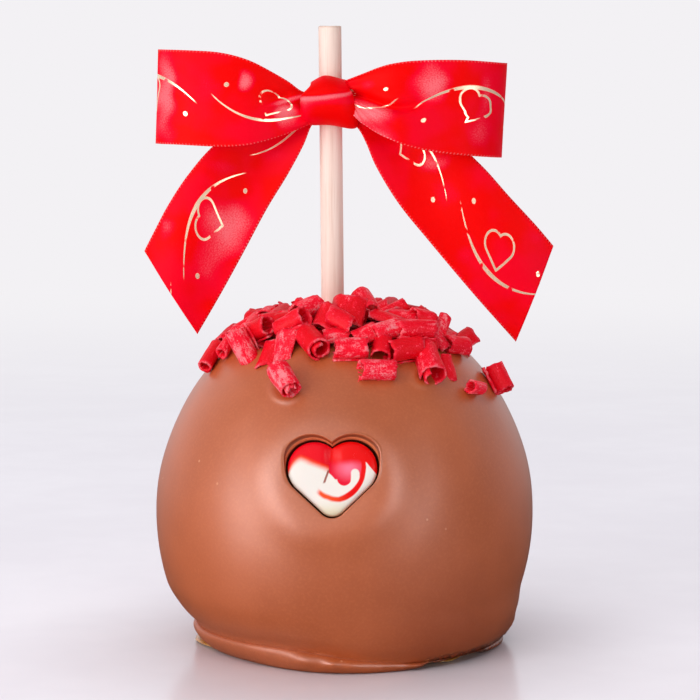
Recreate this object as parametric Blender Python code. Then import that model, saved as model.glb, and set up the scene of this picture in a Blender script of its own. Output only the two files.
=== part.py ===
# Chocolate caramel apple on a stick: coated apple with a heart window, candy heart,
# heap of red chocolate curls, wooden stick and satin ribbon bow.
# Metres, +Z up, the front faces -Y, origin on the floor under the middle of the apple.
import bmesh
import bpy
import math
import random
from mathutils import Matrix, Vector

# Coated apple
BELLY_RADIUS = 0.0499
WAIST_HEIGHT = 0.0352
UPPER_HEIGHT = 0.0560
LOWER_HEIGHT = 0.0560
DIMPLE_DEPTH = 0.0134
DIMPLE_WIDTH = 0.0160
BASE_SHIFT = 0.0013
SHIFT_SPAN = 0.0180
AROUND = 48
FLOOR_ROWS = 2
LIP_ROWS = 6
BELLY_ROWS = 21

# Foot of chocolate that ran down round the base
FOOT_RADIUS = 0.0394
FOOT_WAVE = 0.0016
LIP_BULGE = 0.0011
LIP_LOW = 0.0022
LIP_LEFT = 0.0080
LIP_RIGHT = 0.0042
CREASE_DEPTH = 0.0009
CREASE_WIDTH = 0.0450
CARAMEL_THICK = 0.0015
CARAMEL_INSET = 0.0022
CARAMEL_PEEK = 0.0026
LIFTED_EDGE = 0.0021
PEEKS = ((-88.0, 15.0, 1.0), (57.0, 8.0, 0.8), (160.0, 14.0, 0.7))

# Heart window and the candy in it
HEART_ACROSS = -0.0026
HEART_UP = 0.0512
HEART_TILT = math.radians(17.0)
WINDOW_HALF = 0.0118
WINDOW_DEPTH = 0.0052
WINDOW_FLARE = 1.05
MOUND_HIGH = 0.0009
MOUND_HALF = (0.0165, 0.0150)
MOUND_WIDTH = 0.25
CANDY_HALF = 0.0109
CANDY_DROP = 0.0004
CANDY_CROWN = 0.0036
CANDY_EDGE = 0.0012
CANDY_CLEFT = 0.0012
CANDY_CLEFT_WIDTH = 0.0016
CANDY_CLEFT_REACH = 0.0040
LOBE_PLACE = 0.40
LOBE_RADIUS = 0.60
TIP_REACH = 1.26
TIP_RADIUS = 0.20

# Stick
STICK_RADIUS = 0.0030
STICK_FOOT = 0.0520
STICK_TOP = 0.1640
STICK_LEAN = math.radians(-0.52)
STICK_ACROSS = -0.0033
STICK_LEAN_HEIGHT = 0.0944
STICK_CHAMFER = 0.0004

# Heap of curls
HEAP_RIM = 0.0312
HEAP_TONGUES = ((-82.0, 26.0, 0.0074), (12.0, 10.0, 0.0032), (40.0, 12.0, 0.0032),
                (62.0, 12.0, 0.0030), (140.0, 30.0, 0.0020), (-140.0, 25.0, 0.0015))
HEAP_COVER = 0.0021
HEAP_EDGE_SPAN = 0.0090
HEAP_FILL = 0.52
CORE_AROUND = 24
CORE_RINGS = 6
CORE_SINK = 0.0010
CORE_BUMP = 0.0007
CORE_BUMP_SPAN = 0.0016
CURL_THICK = 0.0009
CURL_SKEW = 0.08
CURL_STEPS = 6
FILL_STEPS = 4
FILL_CURLS = 54
FILL_SPACING = 0.0058
FILL_LIFT = 0.0012
GOLDEN_ANGLE = math.radians(137.508)
EYE = Vector((0.0013, -0.70, 0.154))

# Bow of 25 mm ribbon
RIBBON_HALF = 0.0124
RIBBON_THICK = 0.0006
KNOT_PLACE = Vector((-0.0047, -0.0030, 0.1430))
KNOT_HALF = (0.0072, 0.0074, 0.0064)

GAP = 0.0003


# ---------------------------------------------------------------- small helpers
def smooth(value):
    value = min(1.0, max(0.0, value))
    return value * value * (3.0 - 2.0 * value)


def mix(first, second, share):
    return first + (second - first) * share


def bell(value, centre, width):
    return math.exp(-((value - centre) / width) ** 2)


def turned(degrees):
    return (degrees + 180.0) % 360.0 - 180.0


def material(name, colour, roughness, coat=0.0):
    made = bpy.data.materials.new(name)
    made.use_nodes = True
    shader = made.node_tree.nodes["Principled BSDF"]
    shader.inputs["Base Color"].default_value = (*colour, 1.0)
    shader.inputs["Roughness"].default_value = roughness
    shader.inputs["Metallic"].default_value = 0.0
    shader.inputs["Coat Weight"].default_value = coat
    return made


def object_from(name, shape, finish=None):
    mesh = bpy.data.meshes.new(name)
    bmesh.ops.recalc_face_normals(shape, faces=shape.faces)
    shape.to_mesh(mesh)
    shape.free()
    made = bpy.data.objects.new(name, mesh)
    bpy.context.scene.collection.objects.link(made)
    if finish:
        mesh.materials.append(finish)
    return made


def smooth_shaded(target, degrees=40.0):
    target.data.shade_smooth()
    target.data.set_sharp_from_angle(angle=math.radians(degrees))


def as_cutter(target):
    target.hide_render = True
    target.display_type = "WIRE"
    return target


def boolean(target, operation, operand=None, collection=None, solver="EXACT"):
    step = target.modifiers.new(operation.title(), "BOOLEAN")
    step.operation = operation
    step.solver = solver
    if collection:
        step.operand_type = "COLLECTION"
        step.collection = collection
    else:
        step.object = operand
    return step


def apply_modifiers(target):
    bpy.context.view_layer.update()
    graph = bpy.context.evaluated_depsgraph_get()
    mesh = bpy.data.meshes.new_from_object(target.evaluated_get(graph))
    target.modifiers.clear()
    target.data = mesh


def keep_largest_piece(target):
    # Drops loose scraps and fills sealed hollows, which are pieces of their own.
    shape = bmesh.new()
    shape.from_mesh(target.data)
    waiting = set(shape.verts)
    pieces = []
    while waiting:
        start = waiting.pop()
        piece = {start}
        edge_of_piece = [start]
        while edge_of_piece:
            for edge in edge_of_piece.pop().link_edges:
                for vert in edge.verts:
                    if vert in waiting:
                        waiting.remove(vert)
                        piece.add(vert)
                        edge_of_piece.append(vert)
        pieces.append(piece)
    pieces.sort(key=len)
    loose = [vert for piece in pieces[:-1] for vert in piece]
    bmesh.ops.delete(shape, geom=loose, context="VERTS")
    shape.to_mesh(target.data)
    shape.free()


# ---------------------------------------------------------------- coated apple
def foot_radius(degrees):
    return FOOT_RADIUS + FOOT_WAVE * math.cos(math.radians(4.0 * (degrees + 5.0)))


def peek(degrees):
    return sum(high * bell(turned(degrees - at), 0.0, wide) for at, wide, high in PEEKS)


def crease_height(degrees):
    left = ((1.0 + math.cos(math.radians(degrees + 75.0))) / 2.0) ** 3.5
    right = ((1.0 + math.cos(math.radians(degrees - 100.0))) / 2.0) ** 8.0
    return LIP_LOW + LIP_LEFT * left + LIP_RIGHT * right


def skin(azimuth, latitude, grow=0.0):
    radius = (BELLY_RADIUS + grow) * math.cos(latitude)
    if latitude >= 0.0:
        height = WAIST_HEIGHT + (UPPER_HEIGHT + grow) * math.sin(latitude)
        height -= DIMPLE_DEPTH * bell(radius, 0.0, DIMPLE_WIDTH)
    else:
        height = WAIST_HEIGHT + (LOWER_HEIGHT + grow) * math.sin(latitude)
    across = radius * math.sin(azimuth)
    if math.cos(azimuth) > 0.0:
        ring = math.hypot((across - HEART_ACROSS) / MOUND_HALF[0],
                          (height - HEART_UP) / MOUND_HALF[1])
        radius += MOUND_HIGH * bell(ring, 1.0, MOUND_WIDTH)
    shift = BASE_SHIFT * smooth((SHIFT_SPAN - height) / SHIFT_SPAN)
    return Vector((radius * math.sin(azimuth) + shift, -radius * math.cos(azimuth), height))


def skin_height(radius):
    latitude = math.acos(min(1.0, radius / BELLY_RADIUS))
    return skin(0.0, latitude).z


def lip_point(azimuth, share):
    # share 0 is the lower edge of the foot, 1 the crease above it
    degrees = math.degrees(azimuth)
    low = LIFTED_EDGE * min(1.0, 1.4 * peek(degrees))
    high = crease_height(degrees)
    turn = math.pi * (share - 0.5)
    part = 0.5 + 0.5 * math.sin(turn)
    bulge = LIP_BULGE * min(1.0, high / 0.0040)
    crease_latitude = -math.asin((WAIST_HEIGHT - high) / LOWER_HEIGHT)
    crease_radius = BELLY_RADIUS * math.cos(crease_latitude) - CREASE_DEPTH
    radius = mix(foot_radius(degrees) - bulge, crease_radius, part) + bulge * math.cos(turn)
    height = mix(low, high, part)
    return Vector((radius * math.sin(azimuth) + BASE_SHIFT, -radius * math.cos(azimuth), height))


def apple_point(azimuth, row, grow):
    degrees = math.degrees(azimuth)
    if row <= FLOOR_ROWS:
        radius = foot_radius(degrees) * 0.9 * row / FLOOR_ROWS
        return Vector((radius * math.sin(azimuth) + BASE_SHIFT, -radius * math.cos(azimuth), 0.0))
    if row <= FLOOR_ROWS + LIP_ROWS:
        return lip_point(azimuth, (row - FLOOR_ROWS - 1) / (LIP_ROWS - 1))
    high = crease_height(degrees)
    crease_latitude = -math.asin((WAIST_HEIGHT - high) / LOWER_HEIGHT)
    share = (row - FLOOR_ROWS - LIP_ROWS) / BELLY_ROWS
    latitude = mix(crease_latitude, math.pi / 2.0, share)
    point = skin(azimuth, latitude, grow)
    notch = CREASE_DEPTH * bell(latitude, crease_latitude, CREASE_WIDTH)
    radial = Vector((math.sin(azimuth), -math.cos(azimuth), 0.0))
    return point - radial * notch


def apple_shape(grow=0.0):
    rows = FLOOR_ROWS + LIP_ROWS + BELLY_ROWS
    shape = bmesh.new()
    bmesh.ops.create_uvsphere(shape, u_segments=AROUND, v_segments=rows, radius=1.0)
    for vert in shape.verts:
        azimuth = math.atan2(vert.co.x, -vert.co.y)
        height = min(1.0, max(-1.0, vert.co.z))
        row = round((math.asin(height) / math.pi + 0.5) * rows)
        vert.co = apple_point(azimuth, row, grow)
    return shape


# ---------------------------------------------------------------- heart
def heart_outline(half, lobe_steps=9, tip_steps=3):
    # Two round lobes, straight sides and a rounded tip, centred on the bounding box.
    lobe = Vector((LOBE_PLACE, 0.0))
    tip = Vector((0.0, -TIP_REACH))
    away = lobe - tip
    slope = math.atan2(away.x, away.y) + math.asin(LOBE_RADIUS / away.length)
    first = math.acos(-LOBE_PLACE / LOBE_RADIUS)
    points = []
    for step in range(lobe_steps + 1):
        angle = mix(first, -slope, step / lobe_steps)
        points.append(lobe + LOBE_RADIUS * Vector((math.cos(angle), math.sin(angle))))
    tip_centre = Vector((0.0, -TIP_REACH + TIP_RADIUS / math.sin(slope)))
    for step in range(tip_steps + 1):
        angle = mix(-slope, -math.pi / 2.0, step / tip_steps)
        points.append(tip_centre + TIP_RADIUS * Vector((math.cos(angle), math.sin(angle))))
    middle = (LOBE_RADIUS + points[-1].y) / 2.0
    right = [Vector((point.x, point.y - middle)) * half for point in points]
    left = [Vector((-point.x, point.y)) for point in right[1:-1]]
    return right + left[::-1]


def heart_frame():
    # Local x runs to the right, y up along the surface and z out of it.
    waist = (HEART_UP - WAIST_HEIGHT) / UPPER_HEIGHT
    latitude = math.asin(waist)
    azimuth = math.asin(HEART_ACROSS / (BELLY_RADIUS * math.cos(latitude)))
    centre = skin(azimuth, latitude)
    turn = Matrix.Rotation(azimuth, 4, "Z")
    stand = Matrix.Rotation(math.pi / 2.0 - HEART_TILT, 4, "X")
    return Matrix.Translation(centre) @ turn @ stand


def window_cutter():
    shape = bmesh.new()
    inner = [shape.verts.new((*point, -WINDOW_DEPTH)) for point in heart_outline(WINDOW_HALF)]
    floor = shape.faces.new(inner)
    grown = bmesh.ops.extrude_face_region(shape, geom=[floor])
    for vert in (item for item in grown["geom"] if isinstance(item, bmesh.types.BMVert)):
        vert.co.x *= WINDOW_FLARE
        vert.co.y *= WINDOW_FLARE
        vert.co.z = WINDOW_DEPTH
    cutter = as_cutter(object_from("window_cutter", shape))
    cutter.matrix_world = heart_frame()
    return cutter


def candy_heart(finish):
    # Flat back, upright edge and a crown that falls off to the sides and into the cleft.
    shape = bmesh.new()
    outline = heart_outline(CANDY_HALF)
    widest = max(point.x for point in outline)
    back = shape.faces.new([shape.verts.new((*point, 0.0)) for point in outline])
    front = bmesh.ops.extrude_face_region(shape, geom=[back])
    top = [item for item in front["geom"] if isinstance(item, bmesh.types.BMFace)][0]
    for vert in top.verts:
        vert.co.z = CANDY_EDGE
    for share in (0.94, 0.80, 0.58, 0.30):
        shrink = share * widest / max(vert.co.x for vert in top.verts)
        ring = bmesh.ops.extrude_face_region(shape, geom=[top])
        bmesh.ops.delete(shape, geom=[top], context="FACES_ONLY")
        top = [item for item in ring["geom"] if isinstance(item, bmesh.types.BMFace)][0]
        for vert in top.verts:
            vert.co.x *= shrink
            vert.co.y *= shrink
            crown = (1.0 - share ** 2.6) ** 0.5
            cleft = CANDY_CLEFT * bell(vert.co.x, 0.0, CANDY_CLEFT_WIDTH)
            cleft *= smooth(vert.co.y / CANDY_CLEFT_REACH)
            vert.co.z = mix(CANDY_EDGE, CANDY_CROWN, crown) - cleft
    bmesh.ops.poke(shape, faces=[top])
    candy = object_from("candy_heart", shape, finish)
    seat = Matrix.Translation((0.0, -CANDY_DROP, GAP - WINDOW_DEPTH))
    candy.matrix_world = heart_frame() @ seat
    smooth_shaded(candy)
    return candy


# ---------------------------------------------------------------- stick
def stick_matrix():
    middle = (STICK_FOOT + STICK_TOP) / 2.0
    across = STICK_ACROSS + math.tan(STICK_LEAN) * (middle - STICK_LEAN_HEIGHT)
    return Matrix.Translation((across, 0.0, middle)) @ Matrix.Rotation(STICK_LEAN, 4, "Y")


def stick_shape(grow):
    shape = bmesh.new()
    bmesh.ops.create_cone(shape, cap_ends=True, segments=24, radius1=STICK_RADIUS + grow,
                          radius2=STICK_RADIUS + grow,
                          depth=STICK_TOP - STICK_FOOT + 2.0 * grow)
    return shape


def stick(finish):
    shape = stick_shape(0.0)
    rims = [edge for edge in shape.edges if abs(edge.verts[0].co.z - edge.verts[1].co.z) < 1e-6]
    bmesh.ops.bevel(shape, geom=rims, offset=STICK_CHAMFER, segments=1, profile=0.5,
                    affect="EDGES", material=-1)
    made = object_from("stick", shape, finish)
    made.matrix_world = stick_matrix()
    smooth_shaded(made)
    return made


# ---------------------------------------------------------------- curls
def heap_rim(degrees):
    return HEAP_RIM + sum(reach * bell(turned(degrees - at), 0.0, wide)
                          for at, wide, reach in HEAP_TONGUES)


def heap_height(x, y):
    # Height of the top of the heap's core over a point of the floor plan.
    radius = math.hypot(x, y)
    degrees = math.degrees(math.atan2(x, -y))
    cover = HEAP_COVER * smooth((heap_rim(degrees) - radius) / HEAP_EDGE_SPAN)
    fill = HEAP_FILL * DIMPLE_DEPTH * bell(radius, 0.0, DIMPLE_WIDTH)
    return skin_height(radius) + cover + fill


def heap_core(finish):
    # A round cake over the crown: lower face inside the apple, upper face with shallow bumps.
    shape = bmesh.new()
    bmesh.ops.create_uvsphere(shape, u_segments=CORE_AROUND, v_segments=2 * CORE_RINGS,
                              radius=1.0)
    for vert in shape.verts:
        azimuth = math.atan2(vert.co.x, -vert.co.y)
        flat = math.hypot(vert.co.x, vert.co.y)
        share = math.asin(min(1.0, flat)) / (math.pi / 2.0)
        radius = share * heap_rim(math.degrees(azimuth))
        x = radius * math.sin(azimuth)
        y = -radius * math.cos(azimuth)
        if vert.co.z > 1e-6:
            bump = CORE_BUMP * math.sin(x / CORE_BUMP_SPAN + 1.0) * math.sin(y / CORE_BUMP_SPAN)
            vert.co = (x, y, heap_height(x, y) + bump * smooth((1.0 - share) * 4.0))
        elif vert.co.z < -1e-6:
            vert.co = (x, y, skin_height(radius) - 4.0 * CORE_SINK)
        else:
            vert.co = (x, y, skin_height(radius) - CORE_SINK)
    return object_from("shavings", shape, finish)


def seat(across, up, lift):
    # Follows the line of sight through a place seen from the front to where it is lift
    # above the heap, or to where it comes nearest to the heap.
    aim = Vector((across, 0.0, up)) - EYE
    best = None
    least = 1.0
    for step in range(400):
        point = EYE + aim * mix(0.93, 1.045, step / 400.0)
        if math.hypot(point.x, point.y) > BELLY_RADIUS - 0.001:
            continue
        above = point.z - heap_height(point.x, point.y)
        if above <= lift:
            return point
        if above < least:
            least = above
            best = point
    return best


def slope_frame(point):
    # Axes to the right, up the slope and out of the surface at a place on the crown.
    radial = Vector((point.x, point.y, 0.0))
    radius = max(radial.length, 0.001)
    rise = (skin_height(radius + 0.0005) - skin_height(radius - 0.0005)) / 0.001
    out = radial.normalized() * -rise + Vector((0.0, 0.0, 1.0))
    out.normalize()
    right = Vector((1.0, 0.0, 0.0))
    right = (right - out * right.dot(out)).normalized()
    up = out.cross(right)
    return Matrix((right, up, out)).transposed().to_4x4()


def curl(name, point, turn, size, finish=None, steps=CURL_STEPS):
    # turn: heading of the roll's axis from the right, its tilt and the place of its opening,
    # all in degrees. size: length, outer radius (millimetres) and angle of wrap (degrees).
    heading, tilt, opening = turn
    length, radius, wrap = size[0] / 1000.0, size[1] / 1000.0, math.radians(size[2])
    tighten = 0.40 * max(0.0, wrap - math.radians(250.0)) / math.radians(300.0)
    middle = radius * math.sin(wrap / 2.0) / (wrap / 2.0)
    shape = bmesh.new()
    bmesh.ops.create_grid(shape, x_segments=steps, y_segments=1, size=1.0)
    for vert in shape.verts:
        along = (vert.co.x + 1.0) / 2.0
        side = vert.co.y
        angle = wrap * (along - 0.5)
        reach = radius * (1.0 - tighten * along)
        skew = CURL_SKEW * length * math.sin(3.0 * along + radius / 0.00025)
        vert.co = (side * length / 2.0 + skew, reach * math.cos(angle) - middle,
                   reach * math.sin(angle))
    bmesh.ops.triangulate(shape, faces=shape.faces)
    bmesh.ops.solidify(shape, geom=shape.faces[:], thickness=CURL_THICK)
    made = object_from(name, shape, finish)
    roll = Matrix.Rotation(math.radians(opening), 4, "X")
    lean = Matrix.Rotation(math.radians(-tilt), 4, "Y")
    head = Matrix.Rotation(math.radians(heading), 4, "Z")
    made.matrix_world = Matrix.Translation(point) @ slope_frame(point) @ head @ lean @ roll
    return made


# Curls that show from the front: across and up as seen on the plane through the stick,
# lift out of the heap, (heading, tilt, opening), (length, radius, wrap).
SHOWN_CURLS = (
    (-35.0, 77.9, 2.6, (65, 0, 60), (11.5, 3.1, 330)),
    (-31.5, 80.6, 3.0, (120, 20, 0), (6.0, 3.4, 150)),
    (-26.3, 79.6, 3.6, (85, 25, 200), (9.0, 4.4, 300)),
    (-23.2, 85.2, 3.0, (20, 10, 90), (7.5, 3.2, 250)),
    (-18.0, 88.4, 2.8, (10, 5, 90), (8.5, 4.0, 110)),
    (-15.0, 85.6, 3.4, (15, 10, 30), (9.0, 3.4, 310)),
    (-16.2, 80.2, 2.4, (60, 40, 90), (8.5, 5.0, 80)),
    (-20.7, 77.9, 1.6, (70, 15, 90), (7.5, 3.5, 110)),
    (-8.6, 80.4, 3.2, (110, -10, 150), (9.4, 3.6, 320)),
    (-10.0, 90.4, 3.4, (30, 20, 120), (7.0, 3.2, 270)),
    (-4.2, 88.8, 3.8, (60, 30, 90), (7.0, 3.8, 140)),
    (0.6, 89.4, 4.4, (80, 50, 90), (9.0, 5.0, 130)),
    (-1.8, 83.6, 2.0, (0, 0, 90), (6.0, 3.2, 100)),
    (0.8, 77.9, 2.8, (2, 0, 70), (8.6, 3.2, 290)),
    (5.0, 91.4, 3.6, (110, 45, 90), (8.5, 4.5, 120)),
    (10.8, 88.0, 3.0, (150, 15, 90), (8.0, 3.2, 170)),
    (18.2, 89.2, 2.8, (170, 10, 90), (7.5, 3.5, 120)),
    (20.4, 87.5, 3.0, (200, 10, 60), (6.5, 2.8, 260)),
    (17.6, 83.8, 3.4, (12, 5, 30), (10.5, 3.4, 310)),
    (4.4, 83.0, 2.6, (40, 10, 90), (7.5, 3.4, 160)),
    (10.4, 82.6, 2.4, (20, 10, 90), (7.5, 3.2, 150)),
    (9.2, 78.8, 1.8, (85, 0, 90), (6.5, 2.6, 200)),
    (15.2, 78.2, 3.2, (25, 0, 80), (8.8, 3.4, 290)),
    (7.6, 73.2, 2.5, (5, 0, 75), (8.4, 3.0, 300)),
    (22.8, 75.2, 2.9, (105, 0, 170), (9.8, 3.5, 310)),
    (28.0, 74.6, 1.8, (120, 30, 90), (6.5, 2.8, 160)),
    (20.0, 80.4, 2.4, (60, 10, 90), (6.5, 3.2, 170)),
    (29.2, 79.2, 2.6, (10, 5, 60), (7.6, 3.0, 330)),
    (32.4, 82.4, 3.0, (45, 40, 90), (7.0, 7.0, 50)),
    (26.2, 85.4, 3.0, (95, 50, 90), (7.0, 2.6, 120)),
)

# Curls that lie apart on the shoulder, each a piece of its own
STRAY_CURLS = (
    ("stray_curl_front", -15.8, 70.6, 5.8, (118, -5, 320), (8.2, 3.4, 420)),
    ("stray_curl_small", 35.1, 68.2, 3.4, (25, 0, 75), (5.2, 2.0, 290)),
    ("stray_curl_large", 40.4, 70.8, 5.4, (-42, 0, 80), (7.0, 3.0, 300)),
)


def fill_curls(taken):
    # Evenly spread round the crown by the golden angle, where no shown curl lies.
    draw = random.Random(11)
    for index in range(FILL_CURLS):
        azimuth = index * GOLDEN_ANGLE
        share = math.sqrt((index + 3.0) / (FILL_CURLS + 3.0))
        radius = share * (heap_rim(math.degrees(azimuth)) + 0.0020)
        heading, tilt, opening = draw.uniform(0, 360), draw.uniform(-10, 35), draw.uniform(40, 120)
        length, round_radius = draw.uniform(6.0, 9.0), draw.uniform(2.6, 3.8)
        wrap = draw.choice((110, 150, 220, 290))
        x = radius * math.sin(azimuth)
        y = -radius * math.cos(azimuth)
        place = Vector((x, y, heap_height(x, y)))
        if any((place - other).length < FILL_SPACING for other in taken):
            continue
        place += slope_frame(place).col[2].to_3d() * FILL_LIFT
        yield place, (heading, tilt, opening), (length, round_radius, wrap)


def shavings(finish, apple_room, stick_room):
    heap = heap_core(finish)
    pile = bpy.data.collections.new("pile")
    bpy.context.scene.collection.children.link(pile)
    taken = [seat(across / 1000.0, up / 1000.0, lift / 1000.0)
             for across, up, lift, turn, size in SHOWN_CURLS]
    pieces = [curl("pile_curl", place, turn, size, finish)
              for place, (across, up, lift, turn, size) in zip(taken, SHOWN_CURLS)]
    pieces += [curl("pile_curl", place, turn, size, finish, steps=FILL_STEPS)
               for place, turn, size in fill_curls(taken)]
    for piece in pieces:
        bpy.context.scene.collection.objects.unlink(piece)
        pile.objects.link(piece)
    boolean(heap, "UNION", collection=pile, solver="MANIFOLD")
    apply_modifiers(heap)
    for piece in pieces:
        bpy.data.objects.remove(piece)
    bpy.data.collections.remove(pile)
    boolean(heap, "DIFFERENCE", apple_room, solver="MANIFOLD")
    boolean(heap, "DIFFERENCE", stick_room, solver="MANIFOLD")
    apply_modifiers(heap)
    keep_largest_piece(heap)
    smooth_shaded(heap, 35.0)
    return heap


def stray_curls(finish, apple_room):
    for name, across, up, lift, turn, size in STRAY_CURLS:
        place = seat(across / 1000.0, up / 1000.0, lift / 1000.0)
        stray = curl(name, place, turn, size, finish)
        boolean(stray, "DIFFERENCE", apple_room, solver="MANIFOLD")
        smooth_shaded(stray, 35.0)


# ---------------------------------------------------------------- ribbon bow
def curve_at(points, share):
    # Smooth curve through a few points (Catmull-Rom).
    spans = len(points) - 1
    place = min(spans - 1e-6, max(0.0, share * spans))
    index = int(place)
    t = place - index
    a = points[max(0, index - 1)]
    b = points[index]
    c = points[index + 1]
    d = points[min(spans, index + 2)]
    return 0.5 * (2.0 * b + (c - a) * t + (2.0 * a - 5.0 * b + 4.0 * c - d) * t * t
                  + (3.0 * b - a - 3.0 * c + d) * t * t * t)


def strip(name, columns, rows, place):
    # Sheet of ribbon: place(along, side) gives each point, along 0..1 and side -1..1.
    shape = bmesh.new()
    bmesh.ops.create_grid(shape, x_segments=columns, y_segments=rows, size=1.0)
    for vert in shape.verts:
        vert.co = place((vert.co.x + 1.0) / 2.0, vert.co.y)
    bmesh.ops.triangulate(shape, faces=shape.faces)
    made = object_from(name, shape)
    thick = made.modifiers.new("Solidify", "SOLIDIFY")
    thick.thickness = RIBBON_THICK
    thick.offset = 0.0
    apply_modifiers(made)
    return made


# Plan of each loop (across, depth), from the knot out over the front and back behind.
LEFT_LOOP = [Vector(p) / 1000.0 for p in (
    (-6, -4.5), (-14, -8), (-26, -11.5), (-40, -10), (-47.5, -5.5), (-49.6, -0.5),
    (-46, 4.5), (-36, 7.5), (-22, 7), (-12, 4), (-5, 2))]
RIGHT_LOOP = [Vector(p) / 1000.0 for p in (
    (-3, -4.5), (4, -7.5), (14, -11.5), (30, -10.5), (39.5, -6), (42.4, -0.5),
    (39, 4.5), (29, 7.5), (14, 7), (4, 4), (-4, 2))]
# Middle line of each tail (across, depth, up), from the knot to its end.
LEFT_TAIL = [Vector(p) / 1000.0 for p in (
    (-7, -3, 141), (-15, -3.5, 134.5), (-24, -4, 128), (-31, -5, 120.5),
    (-37.2, -7, 111.6), (-41.7, -7.5, 103.2), (-46.1, -6.5, 95))]
RIGHT_TAIL = [Vector(p) / 1000.0 for p in (
    (-2, -3, 141), (6.5, -3.5, 134.5), (15.5, -4, 129), (25, -5, 121.5),
    (35.2, -7, 111.4), (42.5, -7.5, 103.5), (49.6, -6.5, 94.2))]


def loop_place(plan, knot_up, outer_up, top_bow):
    def place(along, side):
        flat = curve_at(plan, along)
        reach = 1.0 - abs(2.0 * along - 1.0)
        open_out = smooth(reach / 0.52)
        half = mix(0.0046, RIBBON_HALF, open_out) * mix(1.0, 0.965, smooth(4.0 * (along - 0.5)))
        middle = mix(knot_up, outer_up, smooth(reach)) + top_bow * math.sin(math.pi * reach)
        pleat = 0.0016 * math.cos(4.0 * side) * (1.0 - open_out)
        front = 1.0 if along < 0.5 else -1.0
        return Vector((flat.x, flat.y - front * pleat, middle + side * half))
    return place


def tail_place(line, side_sign, cut):
    # The cut is slanted: the inner edge runs on further than the outer one.
    def place(along, side):
        slant = side * side_sign * cut / 2.0 * smooth(along)
        centre = curve_at(line, along)
        ahead = curve_at(line, min(1.0, along + 0.02)) - curve_at(line, max(0.0, along - 0.02))
        ahead.y = 0.0
        ahead.normalize()
        across = Vector((-ahead.z, 0.0, ahead.x)) * side_sign
        half = mix(0.0040, RIBBON_HALF, smooth(along / 0.42))
        wave = 0.0012 * math.sin(2.6 * side + 4.0 * along) * smooth(along / 0.3)
        return centre + across * side * half + ahead * slant * side_sign + Vector((0, wave, 0))
    return place


def knot_shape():
    shape = bmesh.new()
    bmesh.ops.create_uvsphere(shape, u_segments=20, v_segments=12, radius=1.0)
    for vert in shape.verts:
        point = vert.co
        square = 1.0 / max(abs(point.x), abs(point.z), abs(point.y)) ** 0.70
        band = 1.0 - 0.10 * bell(point.z, 0.35, 0.22)
        vert.co = Vector((point.x * KNOT_HALF[0] * square,
                          point.y * KNOT_HALF[1] * square * band,
                          point.z * KNOT_HALF[2] * square)) + KNOT_PLACE
    return shape


def ribbon_bow(finish, stick_room):
    bow = object_from("ribbon_bow", knot_shape(), finish)
    strips = bpy.data.collections.new("strips")
    bpy.context.scene.collection.children.link(strips)
    pieces = [
        strip("left_loop", 22, 4, loop_place(LEFT_LOOP, 0.1428, 0.1456, -0.0005)),
        strip("right_loop", 22, 4, loop_place(RIGHT_LOOP, 0.1440, 0.1420, 0.0014)),
        strip("left_tail", 10, 4, tail_place(LEFT_TAIL, 1.0, 0.012)),
        strip("right_tail", 10, 4, tail_place(RIGHT_TAIL, -1.0, 0.012)),
    ]
    for piece in pieces:
        bpy.context.scene.collection.objects.unlink(piece)
        strips.objects.link(piece)
    boolean(bow, "UNION", collection=strips, solver="MANIFOLD")
    apply_modifiers(bow)
    for piece in pieces:
        bpy.data.objects.remove(piece)
    bpy.data.collections.remove(strips)
    boolean(bow, "DIFFERENCE", stick_room, solver="MANIFOLD")
    apply_modifiers(bow)
    keep_largest_piece(bow)
    smooth_shaded(bow, 50.0)
    return bow


# ---------------------------------------------------------------- caramel
def caramel_radius(degrees, grow):
    return foot_radius(degrees) - CARAMEL_INSET + CARAMEL_PEEK * min(1.0, peek(degrees)) + grow


def caramel_shape(grow):
    shape = bmesh.new()
    rim = []
    for step in range(72):
        degrees = step * 360.0 / 72.0
        radius = caramel_radius(degrees, grow)
        angle = math.radians(degrees)
        rim.append(shape.verts.new((radius * math.sin(angle) + BASE_SHIFT,
                                    -radius * math.cos(angle), 0.0)))
    floor = shape.faces.new(rim)
    grown = bmesh.ops.extrude_face_region(shape, geom=[floor])
    for vert in (item for item in grown["geom"] if isinstance(item, bmesh.types.BMVert)):
        vert.co.z = CARAMEL_THICK + grow
    if grow:
        for vert in rim:
            vert.co.z = -CARAMEL_THICK
    return shape


# ---------------------------------------------------------------- the whole
def build():
    for old in list(bpy.data.objects):
        bpy.data.objects.remove(old, do_unlink=True)
    chocolate = material("milk_chocolate", (0.40, 0.14, 0.07), 0.36, 0.25)
    caramel = material("caramel", (0.62, 0.27, 0.05), 0.30, 0.3)
    candy = material("candy_shell", (0.90, 0.55, 0.50), 0.22, 0.4)
    red_chocolate = material("red_chocolate", (0.78, 0.02, 0.06), 0.62)
    wood = material("birch_wood", (0.86, 0.70, 0.58), 0.60)
    satin = material("red_satin", (0.85, 0.0, 0.01), 0.38)

    stick_room = as_cutter(object_from("stick_room", stick_shape(GAP)))
    stick_room.matrix_world = stick_matrix()
    apple_room = as_cutter(object_from("apple_room", apple_shape(GAP)))
    caramel_room = as_cutter(object_from("caramel_room", caramel_shape(GAP)))

    apple = object_from("coated_apple", apple_shape(), chocolate)
    boolean(apple, "DIFFERENCE", window_cutter())
    boolean(apple, "DIFFERENCE", stick_room)
    boolean(apple, "DIFFERENCE", caramel_room)
    smooth_shaded(apple, 45.0)

    object_from("caramel_base", caramel_shape(0.0), caramel)
    candy_heart(candy)
    stick(wood)
    shavings(red_chocolate, apple_room, stick_room)
    stray_curls(red_chocolate, apple_room)
    ribbon_bow(satin, stick_room)


build()
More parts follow.
